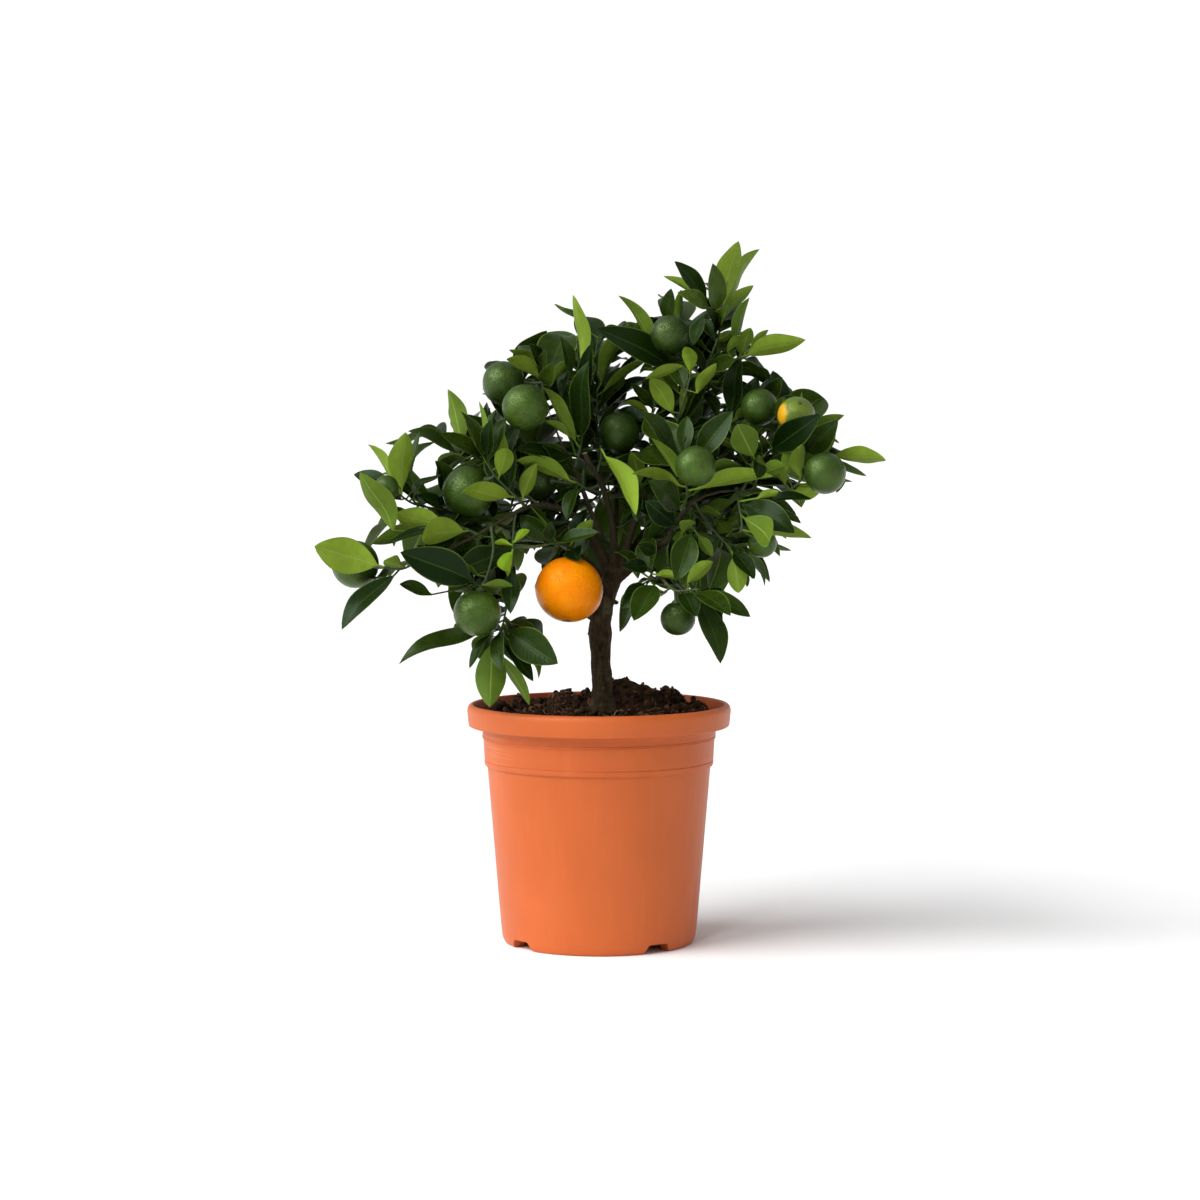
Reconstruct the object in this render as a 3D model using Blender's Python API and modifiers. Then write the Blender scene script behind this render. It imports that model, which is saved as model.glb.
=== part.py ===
"""Potted calamondin tree: pot, soil, wood, fruits and leafy sprays. Metres, +Z up.

The origin is the middle of the pot's foot. The front is -Y. Places in the crown were measured
from the front, on the upright plane through the trunk, and are written as millimetres
(across, depth, height), depth growing away from the viewer; at_eye turns them into true places.
"""
import math
import random

import bmesh
import bpy
from mathutils import Matrix, Vector
from mathutils.bvhtree import BVHTree

MM = 0.001
GAP = 0.3 * MM

EYE_DISTANCE = 1600 * MM
EYE_HEIGHT = 279.4 * MM
FRONT_DEPTH_SCALE = 1.15
BACK_DEPTH_SCALE = 1.02
EYE = Vector((0.0, -EYE_DISTANCE, EYE_HEIGHT))

POT_HEIGHT = 120 * MM
RIM_RADIUS = 66.2 * MM
RIM_HEIGHT = 11 * MM
RIM_INNER_RADIUS = 63 * MM
NECK_RADIUS = 58.4 * MM
SHOULDER_RADIUS = 57.2 * MM
SHOULDER_HEIGHT = 88.5 * MM
NECK_FOOT = 104 * MM
BAND_TOP = 103.2 * MM
BAND_FOOT = 94.6 * MM
BAND_UNDERSIDE = 93.8 * MM
BAND_PROUD = 0.4 * MM
BODY_RADIUS = 56 * MM
FOOT_RADIUS = 49.3 * MM
FOOT_RING_WIDTH = 5 * MM
FOOT_BEND = 8 * MM
FOOT_INSET = 2.6 * MM
WALL = 1.8 * MM
RIM_ROLL = 2 * MM
FLOOR_UNDERSIDE = 3.4 * MM
FLOOR_TOP = 6 * MM
POT_STEPS = 30
NOTCH_WIDTH = 12 * MM
NOTCH_HEIGHT = 4.6 * MM
NOTCH_ANGLES = (-53, 37, 127, 217)
DRAIN_HOLE_RADIUS = 4 * MM
DRAIN_RING_RADIUS = 28 * MM

SOIL_LEVEL = 114.2 * MM
SOIL_RIM_LEVEL = 111.5 * MM
SOIL_REACH = 62.1 * MM
HOLE_RADIUS = 6.2 * MM
HOLE_DEPTH_LEVEL = 62 * MM
TRUNK_CLEAR_RADIUS = 17 * MM
RIM_CLEAR_RADIUS = 61 * MM
HEAPS = [(Vector((12.5 * MM, 22 * MM)), 18 * MM, 21 * MM, 9 * MM),
         (Vector((-13 * MM, 27 * MM)), 9 * MM, 14 * MM, 9 * MM)]
LUMP_COUNT = 14

BLADE_THICKNESS = 0.9 * MM
KEEL_SHARE = 0.65
PETIOLE_WIDTH = 1.0 * MM
PETIOLE_THICKNESS = 1.0 * MM
BLADE_ASPECT = 0.46
WIDE_STATION = 0.40
NARROW_STATION = 0.76
NARROW_SHARE = 0.70
WIDEST_ASPECT = 0.66
ARCH_RANGE = (0.02, 0.09)
FOLD_RANGE = (8, 20)
GROWN_LENGTHS = (32, 44)
GROWN_TILTS = (42, 72)
GROWN_PETIOLE = 0.18
HIDDEN_ENOUGH = 0.6
STEM_RADIUS = 1.1 * MM
STALK_RADIUS = 0.8 * MM
CALYX_RADIUS = 2.2 * MM
CLEARANCE = 0.35 * MM
ROOT_INSET = 1.4 * MM
PLAIN_SHARE = 0.24
PLAIN_BASE_SHARE = 0.3
SHORT_PETIOLE = 0.13
SHARPEST_BEND = math.radians(75)

CORE_ACROSS = 27 * MM
CORE_HEIGHT = 246 * MM
CORE_HALF_WIDTH = 72 * MM
CORE_HALF_HEIGHT = 44 * MM

GOLDEN_ANGLE = math.radians(137.5)

TRUNK = [(1.8, 0, 62.3), (1.8, 0, 114.5), (1.8, 0, 115.1), (1.8, 0, 118.5), (1.8, 0, 124),
         (1.0, 0, 140), (0.6, 0, 150), (0.5, 0, 155), (0.8, 0, 161), (2.6, 0, 171), (5.4, 0, 180),
         (8.0, 0, 188)]
TRUNK_RADII = [5.7, 5.7, 8.2, 6.8, 5.5, 5.1, 5.5, 6.2, 5.5, 5.0, 5.4, 4.6]

LIMBS = {
    "left": ([(5, 0, 182), (-1, -4, 200), (-12, -11, 214), (-27, -20, 219.5), (-39.5, -28, 217),
              (-57, -38, 207), (-74.5, -48, 198), (-86, -55, 195.5)], 3.6, 1.3),
    "upper_left": ([(1, -3, 204), (-4, -4, 216), (-12, -6, 237), (-19.5, -8, 252), (-26, -10, 269)],
                   2.8, 1.3),
    "centre": ([(7, 0, 184), (7.5, 0, 198), (6.5, 0, 212), (1.5, -5, 230), (-5, -12, 241), (-7.5, -13, 246.5)],
               3.2, 2.4),
    "right": ([(7, 0, 181), (16, -4, 189), (25.5, -10, 196), (34.5, -18, 202), (42, -24, 216),
               (53, -28, 224.5), (70.5, -30, 227), (93, -30, 226)], 3.4, 1.4),
    "upper_right": ([(9, 1, 184), (13, 2, 195), (18, 5, 212), (30.5, 8, 237), (45.5, 8, 262),
                     (51, 5, 280), (54, 3, 290)], 3.2, 1.3),
    "lower_right": ([(15, -3, 188), (20.5, -8, 190.5), (28, -22, 187), (35, -35, 179)], 1.7, 1.1),
    "orange_twig": ([(4, -2, 178), (0, -9, 186), (-5, -17, 192), (-12, -23, 196.5)], 1.6, 1.2),
    "back_left": ([(3, 2, 190), (-8, 11, 208), (-22, 24, 224), (-42, 39, 240)], 2.8, 1.4),
    "back_right": ([(11, 3, 188), (22, 14, 206), (38, 28, 222), (58, 42, 236)], 2.8, 1.4),
    "back_centre": ([(7, 3, 192), (9, 13, 216), (8, 25, 242), (4, 34, 262)], 2.6, 1.4),
    "old_cut": ([(1, 0, 160), (-4, -3, 164), (-6.5, -4, 166)], 2.4, 2.0),
    "old_bud": ([(3, 0, 170), (8, -2, 171), (10, -2, 170.5)], 1.4, 1.1),
}

SURFACE_ROOTS = [(200, 15, 1.9), (245, 12, 1.6), (320, 13, 1.7), (75, 11, 1.5), (150, 12, 1.5)]

FRUITS = {
    "fruit_ripe": (-15, -29, 177.2, 16.5),
    "fruit_green_01": (-122, -50, 190, 12),
    "fruit_green_02": (-106.3, -52, 228.3, 6.3),
    "fruit_green_03": (-65.5, -30, 226, 13),
    "fruit_green_04": (-47.5, -8, 280.5, 11),
    "fruit_green_05": (-37, -31, 268.5, 11.5),
    "fruit_green_06": (-31, -4, 232.5, 11),
    "fruit_green_07": (-61, -54, 165.5, 12),
    "fruit_green_08": (35.5, -11, 304.5, 9.8),
    "fruit_green_09": (10, 2, 255.5, 10.5),
    "fruit_green_10": (48.3, -54, 239, 10.3),
    "fruit_green_11": (39.5, -36, 162.8, 8.8),
    "fruit_green_12": (80, -14, 268.5, 9.3),
    "fruit_turning": (98.5, -32, 264.5, 9.3),
    "fruit_green_13": (113, -44, 235.5, 10.5),
    "fruit_green_14": (81.8, -32, 200.5, 7.3),
    "fruit_green_15": (-41, 56, 232, 11),
    "fruit_green_16": (52, 62, 216, 11.5),
    "fruit_green_17": (6, 56, 240, 10.5),
}

SPRAYS = {
    "spray_far_left": {
        "stem": [(-86, -55, 195.5), (-91, -59, 191.5), (-99, -63, 187.5), (-108, -67, 188.5)],
        "fruits": ["fruit_green_01"],
        "leaves": [(-108.5, 189.5, -142.5, 199, 16.5, "L", -8), (-98.5, 184.5, -129, 157, 9, "U", -14),
                   (-98, 188, -107.5, 192, 6.5, "L", -16)]},
    "spray_left_low": {
        "stem": [(-54, -36, 209), (-53, -44, 196), (-57, -52, 182), (-60, -55, 179)],
        "fruits": ["fruit_green_07"],
        "leaves": [(-60, 176.5, -99.5, 196, 17, "U", -14), (-84.5, 174.5, -100, 180, 6, "U", 4),
                   (-59.5, 177, -43, 179, 4.5, "L", 6)]},
    "spray_left_mid": {
        "stem": [(-61, -40, 204.7), (-68, -44, 208), (-82, -50, 209), (-97, -53, 206)],
        "leaves": [(-103, 207, -119.5, 236, 11, "L", -10),
                   (-74.5, 211, -102.5, 215, 12, "L", -6), (-84.5, 203.5, -113.5, 200, 7, "L", -4),
                   (-60, 199, -88.5, 203.5, 12, "L", -24), (-74.5, 199, -105.5, 200.5, 4, "E", -12)]},
    "spray_left_upper": {
        "stem": [(-48, -33, 212), (-62, -22, 215), (-77, -25, 217), (-92, -36, 220), (-100, -44, 225)],
        "fruits": ["fruit_green_02"],
        "leaves": [(-96, 228, -122.5, 235, 8, "U", 12),
                   (-77, 216, -91, 224.5, 6, "U", -14), (-96.5, 227.5, -96.5, 256, 11.5, "L", -10),
                   (-93, 227, -89.5, 256.5, 4.5, "U", 4), (-100.5, 229.5, -115.5, 250, 5, "L", 8)]},
    "spray_left_top": {
        "stem": [(-30, -22, 219.5), (-44, -18, 231), (-57, -13, 241), (-69, -12, 248)],
        "leaves": [(-72, 246, -95.5, 256.5, 6, "U", -6), (-69.5, 250.5, -75.5, 277.5, 9, "L", 4),
                   (-58.5, 238, -79.5, 255.5, 7, "U", -14), (-70, 238, -74.5, 256, 4.5, "L", -12),
                   (-48, 238, -40, 262, 8, "U", 12)]},
    "spray_left_inner": {
        "stem": [(-36, -26, 218), (-42, -33, 224), (-51, -37, 233), (-57, -38, 242)],
        "fruits": ["fruit_green_03"],
        "leaves": [(-57, 239.5, -69, 266.5, 4, "E", -10), (-56.5, 238, -67, 264, 6, "U", 2),
                   (-58, 244.5, -60, 271.5, 5.5, "L", 6), (-57, 241, -53.5, 262.5, 6.5, "U", -8),
                   (-51.5, 230.5, -46, 248, 9, "L", -12), (-45.5, 225.5, -42, 247, 6, "U", -6),
                   (-43.5, 221, -69, 226, 8, "L", -28), (-38, 219.5, -31, 240.5, 7.5, "L", 2),
                   (-52, 246, -46.5, 263, 6, "U", 8), (-48.5, 240, -48, 256, 7, "L", 8)]},
    "spray_upper_left_tip": {
        "stem": [(-26, -10, 269), (-28, -11, 277), (-28, -11, 284), (-27, -11, 289)],
        "fruits": ["fruit_green_04", "fruit_green_05"],
        "leaves": [(-29, 282.5, -46, 292.5, 6.5, "L", -18), (-27, 289.5, -45, 297, 4.5, "L", -4),
                   (-20, 290, -35, 300, 6, "U", -14), (-29, 282, -26, 297.5, 4, "U", -16),
                   (-26, 280.5, -22.5, 291, 4.5, "U", -18), (-23.5, 279.5, -12, 293.5, 4.5, "L", 3),
                   (-18.5, 274, -13.5, 290, 5, "U", 10)]},
    "spray_centre_top": {
        "stem": [(-12, -6, 238), (-9, -9, 250), (-8, -10, 268), (-8.5, -10, 288)],
        "leaves": [(-14, 286, -19.5, 303.5, 6.5, "U", -12), (-8, 289.5, -13, 324.5, 6.5, "L", -4),
                   (-6, 248.5, -5, 291.5, 10.5, "U", -14), (-5, 277, -4, 300, 7, "U", 4),
                   (-11, 247.5, -29, 279, 6, "L", -14), (-14.5, 268, -29, 283, 6.5, "U", 10),
                   (-12, 244, -42, 247, 7, "U", -12), (-15, 254, -27, 261.5, 4, "L", -6)]},
    "spray_pruned_shoot": {
        "stem": [(-1, -8, 236), (1, -13, 243), (1, -17, 249)],
        "leaves": [(2.5, 250, 18.5, 214.5, 9, "L", -16)]},
    "spray_centre_inner": {
        "stem": [(3, -3, 226), (-4, -15, 227), (-12, -20, 231)],
        "fruits": ["fruit_green_06"],
        "leaves": [(-10, 234, -41.5, 242, 7.5, "L", -14), (-12, 229, -16, 212, 6, "U", -10)]},
    "spray_upper_mid": {
        "stem": [(3, -3, 222), (0, 12, 243), (-1, 16, 262), (-1, 16, 278)],
        "leaves": [(2, 279.5, 17, 310.5, 7.5, "L", -4), (-1, 274.5, 26.5, 293.5, 4, "L", -12),
                   (-0.5, 266, 14, 282.5, 4.5, "U", 6), (0, 275, 4.5, 303, 6.5, "U", 6),
                   (-1, 262, -18, 280, 7, "U", 12)]},
    "spray_upper_right_left": {
        "stem": [(51.5, 5, 282), (46, 8, 291), (41, 9, 302), (38, 9, 311)],
        "fruits": ["fruit_green_08"],
        "leaves": [(34.5, 311, 36, 327.5, 7, "U", -12), (40.5, 311, 41, 327, 4.5, "L", 8),
                   (31.5, 295, 9.5, 324, 6.5, "L", -4), (36.5, 287, -1, 307.5, 13, "U", -8)]},
    "spray_top": {
        "stem": [(54, 3, 290), (59, 0, 302), (61.5, -3, 316), (61.5, -4, 322)],
        "leaves": [(61.5, 318, 69.5, 351, 11, "L", -4), (58, 317, 56.5, 340, 9, "U", -14),
                   (64, 319.5, 80, 347, 6, "L", 10), (60, 312, 77, 329, 6, "L", 4),
                   (59, 304.5, 64.5, 319, 5.5, "U", -18), (59, 303, 53, 317.5, 5.5, "U", -20),
                   (58.5, 301.5, 51, 313.5, 6, "U", -10), (53, 322, 37.5, 341, 8, "U", -6),
                   (50.5, 323, 32, 333.5, 4.5, "L", 10), (54, 318, 39, 325.5, 7.5, "U", -16),
                   (59.5, 301, 67, 306.5, 4.5, "L", -12), (51.5, 313, 47, 299.5, 6, "U", -14)]},
    "spray_right_top": {
        "stem": [(49.5, 6, 275), (57, 1, 284), (65, -3, 290), (72, -6, 295)],
        "leaves": [(57, 288, 68, 292, 7, "U", -20), (68, 299.5, 75, 323, 5.5, "L", 2),
                   (64, 296, 72.5, 303.5, 4, "L", -14), (70.5, 294, 75.5, 308, 7, "L", -16),
                   (71.5, 291, 103, 302, 10, "L", -6), (75.5, 297, 84.5, 307, 4, "L", 6)]},
    "spray_mid_right_top": {
        "stem": [(36, 8, 246), (38, -2, 252), (40, -12, 264), (44, -14, 278), (46, -14, 286)],
        "leaves": [(50, 286, 43.5, 298.5, 7, "L", -12), (49, 275.5, 58.5, 290.5, 6, "L", -10),
                   (41.5, 289, 23, 282.5, 5, "L", -12), (36.5, 266, 25.5, 283, 9, "L", -8),
                   (38.5, 256, 51.5, 286, 6, "U", -14), (40, 262, 50, 286, 6.5, "L", 4),
                   (44, 262, 54.5, 281, 5, "U", 10)]},
    "spray_centre_right": {
        "stem": [(42, -24, 216), (44, -32, 226), (42, -37, 236), (40, -38, 246)],
        "fruits": ["fruit_green_10"],
        "leaves": [(39.5, 247, 21, 266, 8, "U", -10), (39, 234, 26.5, 253, 8, "L", -16),
                   (43, 246, 44, 264, 8, "U", 6), (50, 244, 67, 266.5, 12, "U", -6),
                   (44, 228.5, 16, 235, 5.5, "L", -14), (46.5, 227, 87, 234, 7.5, "L", -18),
                   (40, 218, 24.5, 232, 12, "U", -22)]},
    "spray_centre_small": {
        "stem": [(29, 8, 234), (27, 10, 248), (26, 9, 262), (28, 8, 268)],
        "fruits": ["fruit_green_09"],
        "leaves": [(28, 268, 16, 280.5, 4.5, "U", -6), (26.5, 264, 12.5, 271, 3.5, "L", -12),
                   (27, 258, 40, 272, 6, "U", 12)]},
    "spray_right_upper": {
        "stem": [(46, 8, 264), (58, 5, 262), (70, 3, 261), (79, 4, 264), (83, 4, 270)],
        "fruits": ["fruit_green_12"],
        "leaves": [(65.5, 264.5, 71, 293.5, 10, "U", -6), (66, 261, 77.5, 268.5, 5, "L", -26),
                   (83, 272, 91.5, 283.5, 8, "U", -10), (60, 262, 52, 276, 6, "U", 14)]},
    "spray_right_far_top": {
        "stem": [(72, -30, 227.5), (79, -27, 240), (88, -23, 249), (96, -21, 253)],
        "fruits": ["fruit_turning"],
        "leaves": [(89.5, 262, 92, 274, 6.5, "U", 6), (83, 257, 95.5, 264, 4, "L", 8),
                   (86, 242, 111, 265, 11, "U", -16), (101, 252, 122.5, 264.5, 6.5, "L", 2),
                   (104, 246, 119.5, 262, 12, "U", -12)]},
    "spray_right_far": {
        "stem": [(93, -30, 226), (99, -30, 230), (106, -28, 238), (114, -26, 244)],
        "fruits": ["fruit_green_13"],
        "leaves": [(118, 244, 143.5, 242, 7.5, "L", -20), (93, 234.5, 97.5, 250.5, 8, "L", -12),
                   (100.5, 232, 101, 253, 8.5, "L", -18), (98, 226, 114, 225.5, 10, "L", -22),
                   (93, 230, 88, 240, 5, "L", -10)]},
    "spray_right_mid": {
        "stem": [(77, -30, 227), (79, -37, 234), (78, -40, 243)],
        "leaves": [(80, 243, 69, 260, 13, "L", -10), (73, 246, 79, 233, 6, "U", -16),
                   (80, 233, 80.5, 247.5, 8, "L", -14), (81, 235, 92.5, 239, 7, "L", -14)]},
    "spray_right_low": {
        "stem": [(69, -30, 227), (70, -38, 220), (71.5, -42, 211), (71, -43, 206)],
        "fruits": ["fruit_green_14"],
        "leaves": [(69.5, 222, 98, 205.5, 13, "U", -14), (80, 205, 106.5, 203, 6.5, "L", -6),
                   (71.5, 214.5, 85.5, 201.5, 12, "L", -22), (70, 206, 84.5, 202, 4, "E", 2),
                   (83, 222, 99, 214, 5, "U", 10), (90.5, 216, 101, 210.5, 3.5, "U", -4),
                   (79.5, 223, 90, 226.5, 4, "L", -10), (86, 221, 106.5, 222.5, 4.5, "U", 4)]},
    "spray_inner_right": {
        "stem": [(42, -23, 217.5), (47, -13, 217), (55, -8, 214), (62, -5, 211)],
        "leaves": [(50.5, 222, 78, 229, 7, "U", 4), (46, 213, 61.5, 215, 4.5, "L", -12),
                   (51.5, 217, 66.5, 221.5, 6, "L", -6), (58.5, 214, 65.5, 205, 7, "L", -10),
                   (63, 209, 74.5, 214.5, 4.5, "L", -6)]},
    "spray_low_right_inner": {
        "stem": [(37, -20, 207), (42, -29, 209), (48, -34, 208)],
        "leaves": [(48, 206, 38.5, 181.5, 13, "U", -10), (42, 206, 46.5, 212, 6, "L", -14),
                   (36, 203, 36.5, 186, 6, "U", -2), (50, 204, 57, 193.5, 5.5, "L", 2),
                   (33, 204, 23, 222, 11, "U", -8)]},
    "spray_low_right": {
        "stem": [(35, -35, 179), (39, -40, 176.5), (46, -44, 177), (50, -46, 177.5)],
        "fruits": ["fruit_green_11"],
        "leaves": [(49.5, 176, 61, 140, 11, "U", -12), (45.5, 176, 66, 164, 8, "U", -22),
                   (51, 179, 76, 163.5, 8, "U", -2), (40.5, 175, 49, 163.5, 9, "U", -20),
                   (44.5, 181, 57, 191.5, 6.5, "L", -8)]},
    "spray_low_centre": {
        "stem": [(27, -21, 188), (26, -29, 184), (25, -33, 181)],
        "leaves": [(29, 184.5, 40, 183, 4, "L", -16), (22, 180, 11.5, 167.5, 9, "U", -10),
                   (28, 179, 17.5, 161.5, 12, "U", -18), (24, 188, 12, 189, 7, "U", -14),
                   (28, 196, 19.5, 200, 7, "U", -12)]},
    "spray_low_far_right": {
        "stem": [(48, -26, 220.5), (54, -22, 211), (61, -26, 203), (67, -30, 197)],
        "leaves": [(67, 198, 78, 182.5, 8, "U", -12), (67.5, 193.5, 70, 175.5, 9, "L", -16),
                   (60, 202, 50, 190, 6, "U", -2)]},
    "spray_over_orange": {
        "stem": [(-12, -23, 196.5), (-15, -25, 199), (-20, -29, 200.5), (-27, -32, 200)],
        "fruits": ["fruit_ripe"],
        "leaves": [(-22, 197, 0, 206, 6, "U", -10), (-8, 204, -10, 191.5, 11, "U", -14),
                   (-12, 203, -3, 212, 6, "L", -6), (-34, 204, -24, 211.5, 6, "U", -4)]},
    "spray_hanging_left": {
        "stem": [(-42, -29, 215.5), (-43, -33, 203), (-43.5, -38, 189), (-45.5, -42, 173),
                 (-48, -45, 160), (-49.5, -47, 150)],
        "leaves": [(-43, 189, -44.5, 159, 8.5, "U", -20), (-46.5, 158, -20.5, 140, 16, "U", -12),
                   (-56, 158, -100.5, 139.5, 8, "U", 3), (-55, 154, -65, 137.5, 4, "U", -10),
                   (-53.5, 150, -55, 118, 15, "L", -8), (-50, 149.5, -33, 131, 7, "U", -16),
                   (-49.5, 144, -35, 119, 5.5, "L", 2), (-50, 160, -48.5, 136, 6.5, "U", -18),
                   (-43.5, 197, -45, 186, 6, "L", -14), (-43, 200, -53, 200.5, 3, "L", -10),
                   (-42.5, 201, -34.5, 207, 3.5, "L", -8), (-46, 199, -73, 183.5, 13, "U", -22)]},
    "spray_inner_centre": {
        "stem": [(19, 5, 214), (22, -4, 221), (21, -10, 230)],
        "leaves": [(21, 231, 16, 246, 7, "L", -8), (19, 230, 19, 211, 4.5, "U", -12),
                   (22, 222, 34, 232, 7, "U", -8)]},
}

BACK_SPRAYS = {
    "spray_back_left_tip": ([(-42, 39, 240), (-54, 47, 248), (-68, 55, 253), (-80, 60, 256)], 9, []),
    "spray_back_left_mid": ([(-22, 24, 224), (-34, 34, 222), (-46, 44, 218), (-55, 53, 208)], 9,
                            ["fruit_green_15"]),
    "spray_back_left_top": ([(-30, 30, 231), (-36, 33, 250), (-42, 34, 268), (-44, 34, 284)], 8, []),
    "spray_back_right_tip": ([(58, 42, 236), (68, 48, 244), (80, 53, 250), (90, 56, 254)], 9, []),
    "spray_back_right_mid": ([(38, 28, 222), (48, 39, 214), (58, 51, 206), (64, 64, 198)], 9,
                             ["fruit_green_16"]),
    "spray_back_right_top": ([(44, 33, 227), (46, 34, 246), (44, 33, 266), (40, 31, 284)], 8, []),
    "spray_back_centre_tip": ([(4, 34, 262), (0, 39, 276), (-2, 41, 290), (0, 39, 304)], 9, []),
    "spray_back_centre_low": ([(8, 24, 238), (4, 36, 232), (0, 50, 222), (-2, 64, 208)], 9,
                              ["fruit_green_17"]),
}
FILL_LEAVES = 1

SHOW_VARIANTS = [(0, 0, 1.0), (-5, 0, 1.0), (5, 0, 1.0), (-10, 0, 1.0), (10, 0, 1.0), (0, 20, 1.0),
                 (0, -20, 1.0), (-6, 20, 1.0), (6, -20, 1.0), (-16, 0, 1.0), (16, 0, 1.0),
                 (-8, 35, 1.0), (8, -35, 1.0), (0, 0, 0.86), (-8, 0, 0.86), (8, 0, 0.86),
                 (-16, 0, 0.86), (16, 0, 0.86), (0, 35, 0.8), (0, -35, 0.8), (-22, 0, 0.8),
                 (22, 0, 0.8), (-12, 30, 0.7), (12, -30, 0.7), (0, 0, 0.6), (-10, 0, 0.6), (10, 0, 0.6)]
TURNS = (0, 35, -35, 70, -70, 110, -110, 160)
SCALES = (1.0, 0.82, 0.66)

COLOURS = {
    "pot": ((0.62, 0.19, 0.07, 1), 0.42),
    "soil": ((0.03, 0.018, 0.012, 1), 0.95),
    "wood": ((0.12, 0.085, 0.05, 1), 0.85),
    "fruit_ripe": ((0.85, 0.34, 0.01, 1), 0.4),
    "fruit_turning": ((0.2, 0.22, 0.03, 1), 0.4),
    "fruit_green": ((0.04, 0.085, 0.02, 1), 0.4),
    "leaf": ((0.06, 0.16, 0.03, 1), 0.45),
}


def true_depth(depth):
    """Metres behind the trunk's plane; the front of the crown is spread a little further."""
    return depth * MM * (FRONT_DEPTH_SCALE if depth < 0 else BACK_DEPTH_SCALE)


def reach_at(depth):
    """How much larger a thing at this depth is than it measures on the trunk's plane."""
    return 1 + true_depth(depth) / EYE_DISTANCE


def at_eye(place):
    """The true place of a point measured on the upright plane through the trunk."""
    across, depth, height = place
    reach = reach_at(depth)
    rise = (height * MM - EYE_HEIGHT) * reach
    return Vector((across * MM * reach, true_depth(depth), EYE_HEIGHT + rise))


def smooth_route(points, per_span):
    """Points along a Catmull-Rom curve through the given ones."""
    knots = [Vector(p) for p in points]
    knots = [2 * knots[0] - knots[1]] + knots + [2 * knots[-1] - knots[-2]]
    route = []
    for i in range(1, len(knots) - 2):
        a, b, c, d = knots[i - 1:i + 3]
        for step in range(per_span):
            t = step / per_span
            route.append(0.5 * (2 * b + (c - a) * t + (2 * a - 5 * b + 4 * c - d) * t ** 2
                                + (3 * b - a - 3 * c + d) * t ** 3))
    route.append(knots[-2])
    return route


def make_material(name, colour, roughness):
    material = bpy.data.materials.new(name)
    material.use_nodes = True
    surface = material.node_tree.nodes["Principled BSDF"]
    surface.inputs["Base Color"].default_value = colour
    surface.inputs["Roughness"].default_value = roughness
    return material


def mesh_object(name, verts, faces, collection):
    mesh = bpy.data.meshes.new(name)
    mesh.from_pydata([tuple(v) for v in verts], [], faces)
    obj = bpy.data.objects.new(name, mesh)
    collection.objects.link(obj)
    return obj


def tube(name, points, radii, resolution, collection):
    """A closed tube along points, made from a curve with a bevel and filled caps."""
    curve = bpy.data.curves.new(name, "CURVE")
    curve.dimensions = "3D"
    curve.bevel_depth = 1.0
    curve.bevel_resolution = resolution
    curve.use_fill_caps = True
    spline = curve.splines.new("POLY")
    spline.points.add(len(points) - 1)
    for point, place, radius in zip(spline.points, points, radii):
        point.co = (*place, 1)
        point.radius = radius
    guide = bpy.data.objects.new(name + "_curve", curve)
    collection.objects.link(guide)
    bpy.context.view_layer.update()
    depsgraph = bpy.context.evaluated_depsgraph_get()
    mesh = bpy.data.meshes.new_from_object(guide.evaluated_get(depsgraph))
    shape = bmesh.new()
    shape.from_mesh(mesh)
    bmesh.ops.remove_doubles(shape, verts=shape.verts, dist=1e-6)
    bmesh.ops.recalc_face_normals(shape, faces=shape.faces)
    shape.to_mesh(mesh)
    shape.free()
    obj = bpy.data.objects.new(name, mesh)
    obj.matrix_world = guide.matrix_world
    collection.objects.link(obj)
    bpy.data.objects.remove(guide)
    return obj


def is_one_body(mesh):
    """True where a mesh is closed and all of it hangs together face to face."""
    shape = bmesh.new()
    shape.from_mesh(mesh)
    closed = all(len(edge.link_faces) == 2 for edge in shape.edges)
    reached = {shape.faces[:][0]}
    border = list(reached)
    while border:
        face = border.pop()
        for edge in face.edges:
            for other in edge.link_faces:
                if other not in reached:
                    reached.add(other)
                    border.append(other)
    whole = len(reached) == len(shape.faces)
    shape.free()
    return closed and whole


def join_solids(name, body, others, collection):
    """One solid from a body and the solids that grow from it."""
    if others:
        group = bpy.data.collections.new(name + "_parts")
        bpy.context.scene.collection.children.link(group)
        for obj in others:
            for holder in obj.users_collection:
                holder.objects.unlink(obj)
            group.objects.link(obj)
        for solver, crossing in (("EXACT", False), ("MANIFOLD", False), ("EXACT", True)):
            union = body.modifiers.new("grown together", "BOOLEAN")
            union.operation = "UNION"
            union.operand_type = "COLLECTION"
            union.collection = group
            union.solver = solver
            union.use_self = crossing
            bpy.context.view_layer.update()
            depsgraph = bpy.context.evaluated_depsgraph_get()
            mesh = bpy.data.meshes.new_from_object(body.evaluated_get(depsgraph))
            body.modifiers.clear()
            if is_one_body(mesh):
                break
        body.data = mesh
        for obj in others:
            bpy.data.objects.remove(obj)
        bpy.data.collections.remove(group)
    for holder in body.users_collection:
        holder.objects.unlink(body)
    body.name = name
    collection.objects.link(body)
    return body


def bvh_of(obj):
    mesh = obj.data
    verts = [obj.matrix_world @ v.co for v in mesh.vertices]
    return BVHTree.FromPolygons(verts, [tuple(p.vertices) for p in mesh.polygons])


def outer_radius(height):
    """Radius of the pot's tapered wall below the step."""
    share = (height - FOOT_BEND) / (SHOULDER_HEIGHT - FOOT_BEND)
    return FOOT_RADIUS + (BODY_RADIUS - FOOT_RADIUS) * share


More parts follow.
